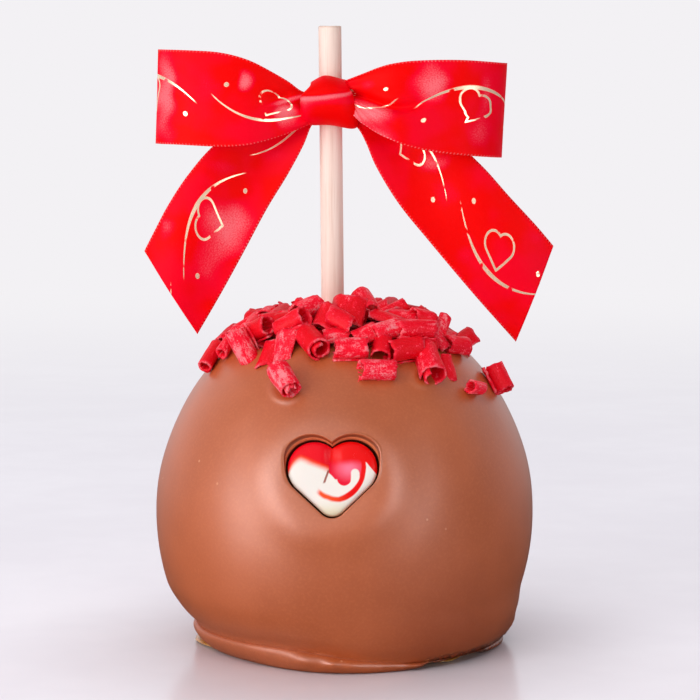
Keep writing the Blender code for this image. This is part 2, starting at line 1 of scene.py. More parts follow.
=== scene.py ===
# Milk chocolate caramel apple on a stick, with a candy heart in its window, red chocolate
# curls over the crown and a red satin bow. Metres, +Z up, the front faces -Y.
import bmesh
import bpy
import math
import random
from mathutils import Matrix, Vector, noise


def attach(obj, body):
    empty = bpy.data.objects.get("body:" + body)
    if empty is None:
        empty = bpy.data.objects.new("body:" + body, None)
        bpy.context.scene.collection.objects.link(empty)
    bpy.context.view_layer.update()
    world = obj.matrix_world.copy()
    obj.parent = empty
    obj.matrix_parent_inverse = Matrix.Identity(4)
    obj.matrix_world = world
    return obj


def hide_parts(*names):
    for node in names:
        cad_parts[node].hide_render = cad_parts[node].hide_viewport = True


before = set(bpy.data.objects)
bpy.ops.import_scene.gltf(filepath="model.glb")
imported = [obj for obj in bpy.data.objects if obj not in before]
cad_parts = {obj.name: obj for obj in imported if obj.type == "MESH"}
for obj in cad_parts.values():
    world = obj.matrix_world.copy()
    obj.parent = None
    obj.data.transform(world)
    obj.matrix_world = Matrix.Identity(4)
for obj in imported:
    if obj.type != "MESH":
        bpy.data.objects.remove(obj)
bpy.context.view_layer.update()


def smooth(value):
    value = min(1.0, max(0.0, value))
    return value * value * (3.0 - 2.0 * value)


def mix(first, second, share):
    return first + (second - first) * share


def bell(value, centre, width):
    return math.exp(-((value - centre) / width) ** 2)


def bearing(x, y):
    # degrees round the apple, from the front to the right
    return math.degrees(math.atan2(x, -y))


def along(marks, degrees):
    # sum of the soft marks (place, width, height) round the apple
    return sum(high * bell((degrees - at + 180.0) % 360.0 - 180.0, 0.0, wide)
               for at, wide, high in marks)


def screen(red, green, blue):
    # a colour as a screen shows it, 0 to 255, made linear
    shares = [value / 255.0 for value in (red, green, blue)]
    return tuple(s / 12.92 if s < 0.0405 else ((s + 0.055) / 1.055) ** 2.4 for s in shares) + (1.0,)


def maths(operation, reflected=False):
    # a method of Field that adds one Math node
    def work(self, *others):
        values = (*others, self) if reflected else (self, *others)
        return self.look.math(operation, *values)

    return work


class Field:
    # a number that changes over a surface: sums written with it add the Math nodes
    __add__ = __radd__ = maths("ADD")
    __mul__ = __rmul__ = maths("MULTIPLY")
    __sub__ = maths("SUBTRACT")
    __rsub__ = maths("SUBTRACT", reflected=True)
    __truediv__ = maths("DIVIDE")
    __pow__ = maths("POWER")
    __abs__ = maths("ABSOLUTE")
    least = maths("MINIMUM")
    most = maths("MAXIMUM")
    above = maths("GREATER_THAN")
    whole = maths("FLOOR")
    fraction = maths("FRACT")
    root = maths("SQRT")
    sine = maths("SINE")

    def __init__(self, look, socket):
        self.look = look
        self.socket = socket

    def rise(self, low, high):
        # 0 below low, 1 above high, smooth between; falls where low is the larger
        if low > high:
            return 1.0 - self.rise(high, low)
        span = {"Value": self, "From Min": low, "From Max": high}
        return self.look.node("MapRange", {"interpolation_type": "SMOOTHSTEP"}, span)


def reach(x, y):
    # distance from 0, 0 as a field
    return (x * x + y * y).root()


class Nodes:
    # the nodes of one material or of the world
    def __init__(self, tree):
        self.tree = tree

    def feed(self, socket, value):
        if isinstance(value, Field):
            self.tree.links.new(value.socket, socket)
        else:
            socket.default_value = value

    def node(self, kind, settings, sockets, out=0):
        made = self.tree.nodes.new("ShaderNode" + kind)
        for name, value in settings.items():
            setattr(made, name, value)
        for key, value in sockets.items():
            self.feed(made.inputs[key], value)
        return Field(self, made.outputs[out])

    def math(self, operation, *values):
        return self.node("Math", {"operation": operation}, dict(enumerate(values)))

    def blend(self, share, first, second):
        sockets = {0: share, 6: first, 7: second}
        return self.node("Mix", {"data_type": "RGBA"}, sockets, 2)

    def kept(self, name, out="Fac"):
        # what the mesh keeps at its corners under a name
        return self.node("Attribute", {"attribute_name": name}, {}, out)

    def place(self, stretch=(1.0, 1.0, 1.0), kept=None):
        # object coordinates, or a map kept on the mesh, stretched
        source = self.kept(kept, "Vector") if kept else self.node("TexCoord", {}, {}, "Object")
        return self.node("Mapping", {}, {"Vector": source, "Scale": stretch})

    def parts(self, vector):
        return [self.node("SeparateXYZ", {}, {0: vector}, axis) for axis in range(3)]

    def noise(self, vector, scale, detail=2.0, rough=0.5):
        sockets = {"Vector": vector, "Scale": scale, "Detail": detail, "Roughness": rough}
        return self.node("TexNoise", {}, sockets)

    def cells(self, vector, scale, out="Distance"):
        return self.node("TexVoronoi", {}, {"Vector": vector, "Scale": scale}, out)

    def bump(self, height, distance, strength, under=None):
        sockets = {"Height": height, "Distance": distance, "Strength": strength}
        if under:
            sockets["Normal"] = under
        return self.node("Bump", {}, sockets)


class Look(Nodes):
    # one material, with a base colour that is painted in layers
    def __init__(self, name, *base):
        self.material = bpy.data.materials.new(name)
        self.material.use_nodes = True
        super().__init__(self.material.node_tree)
        self.shader = self.tree.nodes["Principled BSDF"]
        self.base = screen(*base)

    def paint(self, share, *colour):
        self.base = self.blend(share, self.base, screen(*colour))

    def dress(self, sockets):
        for name, value in {"Base Color": self.base, **sockets}.items():
            self.feed(self.shader.inputs[name], value)
        return self

    def cover(self, shader):
        # uses another shader in place of the usual one
        self.feed(self.tree.nodes["Material Output"].inputs["Surface"], shader)
        return self


def madeFrom(shape, name, look):
    # the finished mesh as an object of the scene
    mesh = bpy.data.meshes.new(name)
    shape.to_mesh(mesh)
    shape.free()
    mesh.materials.append(look.material)
    made = bpy.data.objects.new(name, mesh)
    bpy.context.scene.collection.objects.link(made)
    return made


def finish(name, shape, look, replaced, outwards=True):
    # the finished piece, with its place in its mesh
    if outwards:
        shape.normal_update()
        bmesh.ops.recalc_face_normals(shape, faces=shape.faces)
    made = madeFrom(shape, name, look)
    made.data.shade_smooth()
    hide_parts(replaced)
    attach(made, "root")
    return made


# The camera stands where the photograph was taken from.
view = {
    "away": 0.70, "high": 0.154, "across": 0.00134, "focal": 2650.0, "image": 700.0,
    "sensor": 36.0, "originRow": 640.0,
}
downSlope = view["high"] / view["away"]
rowSlope = (view["originRow"] - view["image"] / 2.0) / view["focal"]
pitch = math.atan((downSlope - rowSlope) / (1.0 + downSlope * rowSlope))
lens = bpy.data.cameras.new("camera")
lens.sensor_width = view["sensor"]
lens.lens = view["focal"] / view["image"] * view["sensor"]
lens.clip_start = 0.01
camera = bpy.data.objects.new("camera", lens)
camera.location = (view["across"], -view["away"], view["high"])
camera.rotation_euler = (math.pi / 2.0 - pitch, 0.0, 0.0)
bpy.context.scene.collection.objects.link(camera)
bpy.context.scene.camera = camera
eye = Vector(camera.location)
print("camera placed")

# Chocolate coat: a round body whose mesh starts in the middle of the heart window and
# closes on the far side, so the window's lip and wall are rings of the same mesh.
coat = {
    "bellyRadius": 0.0502, "waist": 0.0352, "tall": 0.0560,
    "dimpleDepth": 0.0134, "dimpleWidth": 0.0160, "dimpleFilled": 0.52,
    "footShift": 0.0014, "shiftTop": 0.0172, "shiftSpan": 0.0080,
    "pinch": 0.0021, "pinchHigh": 0.0029,
    "moundHigh": 0.0011, "moundAcross": 0.0150, "moundUp": 0.0138, "moundWidth": 0.40,
    "settledHigh": 0.0005, "settledWide": 0.30, "settledTall": 1.3,
    # where a curl sank in (across, up) and the radius of the ring that it raised
    "settledCurls": ((-0.0150, 0.0722, 0.0033), (0.0206, 0.0752, 0.0032)),
    "waveHigh": 0.00022, "waveLength": 0.018, "underside": 0.0018, "tuck": 0.0007,
    "around": 272, "bodyRings": 150, "ringGrowth": 1.30,
}
window = {
    "across": -0.0032, "up": 0.0515, "tilt": math.radians(17.0), "spin": math.radians(1.2),
    "half": 0.01175, "depth": 0.0052, "flare": 0.003, "topFlare": 0.112, "lip": 0.00045,
    "lobePlace": 0.40, "lobeRadius": 0.60, "tipReach": 1.205, "tipRadius": 0.33,
    "floorRings": 4, "wallRings": 12, "lipRings": 6, "steps": 8,
    "ledgeAt": 0.86, "ledgeDeep": 0.00025, "flareCurve": 3.0,
}
foot = {
    "radius": 0.0398, "wave": 0.0016, "bulge": 0.0022, "fullBulgeAt": 0.0040,
    "low": 0.0020, "raised": 0.0042, "raisedTo": 28.0, "raisedFrom": -150.0, "fade": 60.0,
    "crease": 0.0023, "leastCrease": 0.30, "lifted": 0.0019, "steepTop": 0.0105, "steepSpan": 0.007,
    # soft marks, each with its place and width in degrees and its height: the foot's edge
    # drawn in and spread, its steep right side, the gaps under it with caramel and without,
    # its beads and the lumpy stretch
    "bends": ((70.0, 20.0, -0.0012), (96.0, 16.0, 0.0004)),
    "steep": ((96.0, 16.0, 0.0024),),
    "peeks": ((-88.0, 15.0, 1.0), (43.0, 7.5, 0.9), (160.0, 14.0, 0.7)),
    "nooks": ((56.0, 6.0, 0.9), (31.0, 2.5, 0.5)),
    "beads": ((-16.0, 4.5, 0.0008), (-6.0, 2.8, 0.0010), (0.5, 3.0, 0.0006), (25.0, 2.8, 0.0010),
              (60.0, 3.0, 0.0008), (48.0, 2.5, 0.0004), (37.0, 2.0, 0.0005)),
    "lumpy": ((48.0, 22.0, 2.6),),
    "around": 420, "rows": 30, "inner": 0.0030,
}


def roundFoot(degrees, radius, height):
    turn = math.radians(degrees)
    return radius * math.sin(turn) + coat["footShift"], -radius * math.cos(turn), height


def footRadius(degrees):
    wave = foot["wave"] * math.cos(math.radians(4.0 * (degrees + 5.0)))
    return foot["radius"] + wave + along(foot["bends"], degrees)


def creaseShare(degrees):
    # 1 where the coat folds over its foot, at the left, and 0 where it just meets the table
    front = smooth((foot["raisedTo"] - degrees) / foot["fade"])
    return front * smooth((degrees - foot["raisedFrom"]) / foot["fade"])


def creaseHeight(degrees):
    return foot["low"] + foot["raised"] * creaseShare(degrees)


def lipProfile(degrees, share):
    # radius and height on the outside of the foot, from its lower edge (0) to the crease (1)
    low = foot["lifted"] * min(1.0, 1.4 * along(foot["peeks"] + foot["nooks"], degrees))
    high = creaseHeight(degrees)
    turn = math.pi * (share - 0.5)
    part = 0.5 + 0.5 * math.sin(turn)
    bulge = foot["bulge"] * min(1.0, high / foot["fullBulgeAt"])
    rise = (coat["waist"] - high) / coat["tall"]
    depth = foot["crease"] * mix(foot["leastCrease"], 1.0, creaseShare(degrees))
    crease = coat["bellyRadius"] * math.sqrt(1.0 - rise * rise) - depth
    radius = mix(footRadius(degrees) - bulge, crease, part) + bulge * math.cos(turn)
    return radius, mix(low, high, part)


def underLip(degrees, height):
    # how far out the body may reach at a height behind the foot
    low = lipProfile(degrees, 0.0)[1]
    high = creaseHeight(degrees)
    part = min(1.0, max(0.0, (height - low) / (high - low)))
    share = 0.5 + math.asin(2.0 * part - 1.0) / math.pi
    return lipProfile(degrees, share)[0] - coat["tuck"]


def crown(radius, filled):
    # height of the top of the apple at a distance from its axis
    rise = math.sqrt(max(0.0, 1.0 - (radius / coat["bellyRadius"]) ** 2))
    dimple = coat["dimpleDepth"] * (1.0 - filled) * bell(radius, 0.0, coat["dimpleWidth"])
    return coat["waist"] + coat["tall"] * rise - dimple


def shiftAt(height):
    # the foot stands a little to the right of the belly
    return coat["footShift"] * smooth((coat["shiftTop"] - height) / coat["shiftSpan"])


def skin(way):
    # the point of the coat that lies in a direction from the middle of the apple
    flat = max(1e-6, math.hypot(way.x, way.y))
    radius = coat["bellyRadius"] * flat
    height = coat["waist"] + coat["tall"] * way.z
    if way.z > 0.0:
        height = crown(radius, coat["dimpleFilled"])
    if way.y < 0.0:
        ring = math.hypot((coat["bellyRadius"] * way.x - window["across"]) / coat["moundAcross"],
                          (height - window["up"]) / coat["moundUp"])
        radius += coat["moundHigh"] * bell(ring, 1.0, coat["moundWidth"])
        for across, up, wide in coat["settledCurls"]:
            away = Vector((coat["bellyRadius"] * way.x - across, (height - up) * coat["settledTall"]))
            ring = away.length / wide
            radius += coat["settledHigh"] * bell(ring, 1.0, coat["settledWide"])
    return Vector((radius * way.x / flat + shiftAt(height), radius * way.y / flat, height))


def windowFrame():
    # the direction of the window's middle, its place with x to the right, y up along the
    # coat and z out of it, and the way back from there
    rise = (window["up"] - coat["waist"]) / coat["tall"]
    level = math.sqrt(1.0 - rise * rise)
    turn = math.asin(window["across"] / (coat["bellyRadius"] * level))
    way = Vector((level * math.sin(turn), -level * math.cos(turn), rise))
    stand = Matrix.Rotation(math.pi / 2.0 - window["tilt"], 4, "X")
    spin = Matrix.Rotation(window["spin"], 4, "Z")
    place = Matrix.Translation(skin(way)) @ Matrix.Rotation(turn, 4, "Z") @ stand @ spin
    return way, place, place.inverted()


windowWay, windowPlace, windowBack = windowFrame()


def heartPoint(share):
    # once round a heart of half width 1: two round lobes, straight sides and a round tip
    side = 1.0 if share < 0.5 else -1.0
    share = 1.0 - abs(2.0 * share - 1.0)
    lobe, big, small = window["lobePlace"], window["lobeRadius"], window["tipRadius"]
    reach = window["tipReach"]
    slope = math.atan2(lobe, reach) + math.asin(big / math.hypot(lobe, reach))
    first = math.acos(-lobe / big)
    tipUp = -reach + small / math.sin(slope)
    lobeEnd = Vector((lobe + big * math.cos(slope), -big * math.sin(slope)))
    tipStart = Vector((small * math.cos(slope), tipUp - small * math.sin(slope)))
    lengths = (big * (first + slope), (tipStart - lobeEnd).length,
               small * (math.pi / 2.0 - slope))
    run = share * sum(lengths)
    if run <= lengths[0]:
        angle = first - run / big
        point = Vector((lobe + big * math.cos(angle), big * math.sin(angle)))
    elif run <= lengths[0] + lengths[1]:
        point = lobeEnd.lerp(tipStart, (run - lengths[0]) / lengths[1])
    else:
        angle = -slope - (run - lengths[0] - lengths[1]) / small
        point = Vector((small * math.cos(angle), tipUp + small * math.sin(angle)))
    middle = (big + tipUp - small) / 2.0
    return Vector((point.x * side, point.y - middle))


def wayOver(target):
    # the direction whose skin lies over a place on the window's plane, by repeated steps
    right = Vector((0.0, 0.0, 1.0)).cross(windowWay).normalized() * -1.0
    up = windowWay.cross(right) * -1.0
    guess = Vector((target.x / coat["bellyRadius"], target.y / coat["tall"]))
    nudge = 1e-4

    def local(pair):
        return windowBack @ skin((windowWay + right * pair.x + up * pair.y).normalized())

    for step in range(window["steps"]):
        here = local(guess)
        alongX = (local(guess + Vector((nudge, 0.0))) - here) / nudge
        alongY = (local(guess + Vector((0.0, nudge))) - here) / nudge
        miss = Vector((target.x - here.x, target.y - here.y))
        area = alongX.x * alongY.y - alongX.y * alongY.x
        guess.x += (miss.x * alongY.y - miss.y * alongY.x) / area
        guess.y += (alongX.x * miss.y - alongX.y * miss.x) / area
    return (windowWay + right * guess.x + up * guess.y).normalized()


def skinOver(flat):
    # how high the skin of the coat lies over a place on the window's plane
    return (windowBack @ skin(wayOver(flat))).z


def ballCell(spot, around, rings):
    # the column and the ring, counted from the top, of a corner of a round mesh
    column = round(math.atan2(spot.x, spot.y) / (2.0 * math.pi) * around) % around
    return column, round(math.acos(min(1.0, max(-1.0, spot.z))) / math.pi * rings)


def softWave(point):
    # slow unevenness of the poured coat
    slow = noise.noise(point / coat["waveLength"])
    slower = noise.noise(point / (2.4 * coat["waveLength"]) + Vector((7.0, 3.0, 1.0)))
    return coat["waveHigh"] * (slow + 1.4 * slower)


def bodyPoint(way):
    point = skin(way)
    shift = shiftAt(point.z)
    flat = Vector((point.x - shift, point.y, 0.0))
    degrees = bearing(flat.x, flat.y)
    if point.z < creaseHeight(degrees) * 0.85:
        limit = underLip(degrees, point.z)
        if flat.length > limit:
            flat *= limit / flat.length
    else:
        above = point.z - creaseHeight(degrees)
        pinch = coat["pinch"] * mix(foot["leastCrease"], 1.0, creaseShare(degrees))
        pinch *= bell(above, 0.0, coat["pinchHigh"])
        low = smooth((foot["steepTop"] - point.z) / foot["steepSpan"])
        steep = along(foot["steep"], degrees) * low
        wave = softWave(point) * smooth(above / 0.006)
        flat *= 1.0 + (wave + steep - pinch) / max(0.01, flat.length)
    return Vector((flat.x + shift, flat.y, max(point.z, coat["underside"])))


def windowHalf(outline):
    # half width of the window at the coat: it opens out above the lobes
    top = smooth((outline.y - 0.2) / 0.5)
    return window["half"] * (1.0 + window["flare"] + window["topFlare"] * top)


def windowRing(row, outline):
    # rings of the window: its floor, its wall and the rounded lip
    wallRow = row - window["floorRings"]
    lipRow = wallRow - window["wallRings"]
    half, depth, lip = window["half"], window["depth"], window["lip"]
    wallHalf = windowHalf(outline)
    if wallRow <= 0:
        flat = outline * half * row / window["floorRings"]
        high = -depth
    elif lipRow <= 0:
        share = wallRow / window["wallRings"]
        ledge = window["ledgeDeep"] if share > window["ledgeAt"] else 0.0
        flat = outline * (mix(half, wallHalf, share ** window["flareCurve"]) + ledge)
        high = mix(-depth, skinOver(outline * wallHalf) - lip, share)
    else:
        angle = math.pi / 2.0 * lipRow / window["lipRings"]
        flat = outline * (wallHalf + lip * (1.0 - math.cos(angle)))
        high = skinOver(flat) - lip * (1.0 - math.sin(angle))
    return windowPlace @ Vector((flat.x, flat.y, high))


def coatBody(shape):
    recess = shape.verts.layers.float.new("recess")
    inner = window["floorRings"] + window["wallRings"] + window["lipRings"]
    rings = inner + coat["bodyRings"]
    around = coat["around"]
    ball = bmesh.ops.create_uvsphere(shape, u_segments=around, v_segments=rings, radius=1.0)
    outlines = [heartPoint(column / around) for column in range(around)]
    starts = [wayOver(point * (windowHalf(point) + window["lip"])) for point in outlines]
    for vert in ball["verts"]:
        column, row = ballCell(vert.co, around, rings)
        if row <= inner:
            vert.co = windowRing(row, outlines[column])
            wall = (row - window["floorRings"]) / window["wallRings"]
            vert[recess] = 1.0 - min(1.0, max(0.0, wall))
        else:
            share = ((row - inner) / coat["bodyRings"]) ** coat["ringGrowth"]
            angle = mix(windowWay.angle(starts[column]), math.pi, share)
            turn = Matrix.Rotation(angle, 3, windowWay.cross(starts[column]))
            vert.co = bodyPoint(turn @ windowWay)


def footLump(degrees, share):
    # the coat that ran down is thin and lumpy at the right and thicker under the front
    spot = Vector((degrees / 6.0, share * 1.6, 4.0))
    small = noise.noise(spot * 1.9) * 0.00028 + noise.noise(spot * 4.0) * 0.00018
    wide = noise.noise(Vector((degrees / 22.0, share * 0.7, 9.0))) * 0.00030
    bead = along(foot["beads"], degrees) * bell(share, 0.60, 0.24)
    return wide + small * (0.15 + along(foot["lumpy"], degrees)) + bead


def footRing(shape):
    # a closed band round the base, its back tucked inside the body
    rows = foot["rows"]
    turns = [2.0 * math.pi * row / rows for row in range(rows)]
    band = [shape.verts.new((1.0 + 0.2 * math.cos(turn), 0.0, 0.2 * math.sin(turn)))
            for turn in turns]
    edges = [shape.edges.new((band[row], band[(row + 1) % rows])) for row in range(rows)]
    bmesh.ops.spin(shape, geom=band + edges, cent=(0, 0, 0), axis=(0, 0, 1), angle=2.0 * math.pi,
                   steps=foot["around"], use_merge=True)
    for vert in [vert for vert in shape.verts if vert.link_faces]:
        degrees = bearing(vert.co.x, vert.co.y)
        angle = math.degrees(math.atan2(vert.co.z, math.hypot(vert.co.x, vert.co.y) - 1.0))
        if abs(angle) <= 90.5:
            share = min(1.0, max(0.0, angle / 180.0 + 0.5))
            radius, height = lipProfile(degrees, share)
            out = footLump(degrees, share) * math.sin(math.pi * share)
            radius += out
            height += out * 0.2
        else:
            low, high = lipProfile(degrees, 0.0), lipProfile(degrees, 1.0)
            share = (180.0 - abs(angle)) / 90.0
            edge = high if angle > 0.0 else low
            radius = mix(min(low[0], high[0]) - foot["inner"], edge[0], share ** 0.6)
            height = mix((low[1] + high[1]) / 2.0, edge[1], share)
        vert.co = roundFoot(degrees, radius, height)


def chocolateLook():
    look = Look("milkChocolate", 179, 85, 36)
    here = look.place()
    cloud = look.noise(here, 38.0, 3.0, 0.55)
    fine = look.noise(here, 1400.0, 2.0, 0.6)
    look.paint(cloud.rise(0.35, 0.68), 188, 91, 41)
    look.paint(fine.rise(0.40, 0.75) * 0.30, 202, 108, 57)
    # sparse pale specks of crystallised cocoa butter
    chosen = look.node("SeparateColor", {}, {0: look.cells(here, 190.0, "Color")})
    speck = look.cells(here, 190.0).rise(0.085, 0.04) * chosen.rise(0.80, 0.82)
    look.paint(speck * 0.55, 232, 168, 128)
    # window wall: painted shade in a thin line under the lip, a paler band of painted light, painted
    # shade deep by the candy
    recess = look.kept("recess")
    line = recess.rise(0.02, 0.09) * recess.rise(0.20, 0.13)
    look.paint(recess.rise(0.12, 0.20) * 0.8, 232, 138, 88)
    look.paint(line * 0.55 + recess.rise(0.34, 0.52) * 0.93, 74, 26, 8)
    rough = 0.38 + cloud * 0.10 + fine * 0.04 - speck * 0.08
    # the foot's lip is duller on the left, where it stands highest
    x, y, z = look.parts(here)
    rough = rough + z.rise(0.014, 0.010) * x.rise(-0.004, -0.016) * 0.22
    # painted shade: the coat is painted deeper brown over its lower right
    lowerRightShade = z.rise(0.034, 0.010) * x.rise(0.002, 0.026) * x.rise(0.046, 0.030)
    look.paint(lowerRightShade * 0.34, 148, 54, 4)
    # its lip is painted dark and crumbly there, partly as painted shade of the gaps under its ragged
    # edge, and amber where caramel shows through, partly as painted glints
    right = z.rise(0.0040, 0.0026) * x.rise(0.018, 0.024) * y.rise(0.012, 0.002)
    crumb = look.noise(here, 620.0, 3.0, 0.65)
    look.paint(right * crumb.rise(0.40, 0.52) * 0.85, 96, 34, 8)
    look.paint(right * crumb.rise(0.58, 0.64) * 0.80, 240, 160, 100)
    rough = rough + right * (0.10 - crumb.rise(0.58, 0.64) * 0.25)
    normal = look.bump(fine * 0.5 + speck * 0.8, 0.00006, 0.5)
    normal = look.bump(look.noise(here, 150.0), 0.00022, 0.45, normal)
    return look.dress({
        "Roughness": rough, "Normal": normal, "Coat Weight": 0.36 + cloud * 0.25,
        "Coat Roughness": 0.36, "Coat IOR": 1.5, "IOR": 1.5, "Specular IOR Level": 0.60,
    })


shape = bmesh.new()
footRing(shape)
coatBody(shape)
finish("chocolateCoat", shape, chocolateLook(), "coated_apple")
print("chocolate coat poured")

# Caramel that lies under the coat and peeks out at the foot
caramel = {
    "thick": 0.0015, "inset": 0.0022, "peek": 0.0026, "round": 0.30, "rough": 0.00045,
    "lump": 0.0002, "around": 300, "rings": 20,
}


def caramelLayer():
    shape = bmesh.new()
    bmesh.ops.create_uvsphere(shape, u_segments=caramel["around"], v_segments=caramel["rings"],
                              radius=1.0)
    for vert in shape.verts:
        degrees = bearing(vert.co.x, vert.co.y)
        flat = math.hypot(vert.co.x, vert.co.y)
        peeking = min(1.0, along(foot["peeks"], degrees))
        drip = caramel["rough"] * noise.noise(Vector((degrees / 4.0, 2.0, 0.0)))
        edge = footRadius(degrees) - caramel["inset"] + (caramel["peek"] + drip) * peeking
        lump = caramel["lump"] * noise.noise(Vector((degrees / 5.0, 0.0, 5.0))) * peeking
        high = caramel["thick"] * (0.5 + 0.5 * vert.co.z) + max(0.0, vert.co.z) * lump
        radius = edge * flat ** caramel["round"] if flat > 1e-4 else 0.0
        vert.co = roundFoot(degrees, radius, high)
    return shape


def caramelLook():
    look = Look("caramel", 196, 128, 42)
    here = look.place()
    grain = look.noise(here, 500.0, 3.0, 0.6)
    crumb = look.cells(here, 900.0).rise(0.30, 0.12)
    look.paint(grain.rise(0.35, 0.65), 222, 164, 74)
    look.paint(crumb * 0.5, 240, 208, 138)
    return look.dress({
        "Roughness": 0.24 + grain * 0.25, "Normal": look.bump(grain + crumb * 0.6, 0.0002, 0.6),
        "Coat Weight": 0.3 + grain * 0.2, "Coat Roughness": 0.12, "Subsurface Weight": 0.3,
        "Subsurface Radius": (1.0, 0.45, 0.12), "Subsurface Scale": 0.0012,
    })


finish("caramelLayer", caramelLayer(), caramelLook(), "caramel_base")
print("caramel laid")

# Candy heart: a puffy moulded heart, white with red marbling
candy = {
    "half": 0.0112, "back": 0.965, "drop": -0.0001, "gap": 0.0003, "edge": 0.0025, "crown": 0.0038,
    "fall": 8.0, "cleft": 0.0010, "cleftWidth": 0.0016, "cleftReach": 0.0060,
    "around": 160, "backRings": 2, "sideRings": 4, "topRings": 30,
}


def candyPoint(row, outline):
    # a point of the candy, its rings counted from the middle of its back
    sideRow = row - candy["backRings"]
    topRow = sideRow - candy["sideRings"]
    rise = 0.0
    if sideRow <= 0:
        wide, high = candy["back"] * row / candy["backRings"], 0.0
    elif topRow <= 0:
        share = sideRow / candy["sideRings"]
        wide, high = mix(candy["back"], 1.0, smooth(share * 1.2)), candy["edge"] * share
    else:
        wide = math.sin((1.0 - topRow / candy["topRings"]) * math.pi / 2.0)
        rise = (1.0 - wide ** candy["fall"]) ** 0.5
        high = mix(candy["edge"], candy["crown"], rise)
    flat = outline * candy["half"] * wide
    cleft = candy["cleft"] * bell(flat.x, 0.0, candy["cleftWidth"])
    return Vector((flat.x, flat.y, high - cleft * smooth(flat.y / candy["cleftReach"]) * rise))


def candyHeart():
    shape = bmesh.new()
    rings = candy["backRings"] + candy["sideRings"] + candy["topRings"]
    around = candy["around"]
    bmesh.ops.create_uvsphere(shape, u_segments=around, v_segments=rings, radius=1.0)
    seat = windowPlace @ Matrix.Translation((0.0, -candy["drop"], candy["gap"] - window["depth"]))
    heartMap = shape.verts.layers.float_vector.new("heartMap")
    for vert in shape.verts:
        column, row = ballCell(vert.co, around, rings)
        point = candyPoint(rings - row, heartPoint(column / around))
        vert[heartMap] = point / candy["half"]
        vert.co = seat @ point
    return shape


def candyLook():
    # in shares of the heart's half width: u to the right, v up
    white, red, orange = (242, 234, 225), (238, 0, 2), (246, 78, 28)
    look = Look("candyShell", *white)
    raw = look.place(kept="heartMap")
    wobble = look.noise(raw, 3.2, 2.0, 0.5) - 0.5
    u, v, depth = look.parts(raw)
    u = u + wobble * 0.04
    v = v + wobble * 0.04
    look.paint(v.rise(-0.45, -0.85), 234, 222, 188)
    # red cap of the left lobe, fading through orange into the white
    capEdge = 0.50 - (u + 0.69).most(0.0) * 0.42 - (-0.69 - u).most(0.0) ** 2.0 * 3.6
    leftSide = u.rise(0.03, -0.04)
    fade = v - capEdge
    look.paint(fade.rise(-0.16, 0.03) * leftSide, *orange)
    look.paint(fade.rise(-0.05, 0.08) * leftSide, 238, 0, 26)
    # right lobe: crimson round a pink glow, its lower end a round drop
    blob = reach(u - 0.27, v + 0.01)
    wedge = (u * 0.74 + v * 0.67 - 0.036).rise(-0.016, 0.016)
    zone = wedge * v.rise(-0.04, 0.0).most(blob.rise(0.168, 0.142)) * u.rise(-0.09, -0.06)
    arcU, arcV = u + 0.028, v - 0.243
    arcAway = reach(arcU, arcV)
    turn = look.math("ARCTAN2", arcV, arcU)
    arcMiddle = 0.737 - (-1.30 - turn).most(0.0) * 0.18
    zone = zone * (arcAway - arcMiddle).rise(0.02, -0.02)
    look.paint(zone, 236, 0, 46)
    look.paint(reach((u - 0.38) * 0.8, v - 0.22).rise(0.36, 0.0) * zone * 0.95, 250, 122, 150)
    # red above, down to a white wedge at the far right
    capRight = v - (0.36 - (u - 0.76).most(0.0) * 1.17)
    soften = 0.10 * (1.0 - u.rise(0.55, 0.72)) + 0.022
    look.paint((capRight / soften).rise(-0.8, 0.8) * u.rise(-0.12, -0.02), *red)
    # white arm that reaches up between the drop and the arc
    arm = reach(u - 0.515, (v - 0.11).most(0.0))
    look.paint(arm.rise(0.118, 0.080) * v.rise(-0.30, -0.22), *white)
    # red arc, orange and blurred towards its end
    taper = 0.050 + 0.014 * look.math("EXPONENT", (turn + 1.0) * (turn + 1.0) * -3.0)
    soft = 0.25 + turn.rise(-0.9, -1.7) * 0.40
    arcMask = ((1.0 - abs(arcAway - arcMiddle) / taper) / soft).rise(-1.0, 1.0)
    arcMask = arcMask * turn.rise(0.75, 0.45) * turn.rise(-2.16, -1.94)
    arc = look.blend(turn.rise(-1.7, -0.9), screen(*orange), screen(*red))
    look.base = look.blend(arcMask, look.base, arc)
    # painted shade: a thin brown line of shade running down from the cleft along the crease
    line = abs(u + 0.087 - (v - 0.16) * 0.36)
    creaseShadeMask = line.rise(0.036, 0.014) * v.rise(0.22, 0.16) * v.rise(-0.13, -0.07)
    look.paint(creaseShadeMask * 0.9, 150, 58, 30)
    dust = look.cells(raw, 24.0).rise(0.14, 0.06) * look.noise(raw, 4.0).rise(0.50, 0.58)
    dust = dust * v.rise(0.25, 0.40)
    look.paint(dust * 0.5, 255, 150, 165)
    normal = look.bump(look.noise(raw, 9.0, 3.0, 0.5) + dust, 0.00006, 0.5)
    return look.dress({
        "Roughness": 0.45 - wobble * 0.1, "Normal": normal, "Coat Weight": 0.07 + wobble * 0.1,
        "Coat Roughness": 0.15, "Specular IOR Level": 0.10, "Subsurface Weight": 0.10,
        "Subsurface Radius": (1.0, 0.4, 0.3), "Subsurface Scale": 0.0005,
    })


finish("candyHeart", candyHeart(), candyLook(), "candy_heart")
print("candy heart set in its window")

# Plain round stick of pale wood
stick = {
    "radius": 0.0030, "foot": 0.0520, "top": 0.1640, "lean": math.radians(-0.52),
    "across": -0.0033, "leanHeight": 0.0944, "chamfer": 0.00045, "around": 72, "rings": 70,
}


def stickAcross(height):
    return stick["across"] + math.tan(stick["lean"]) * (height - stick["leanHeight"])


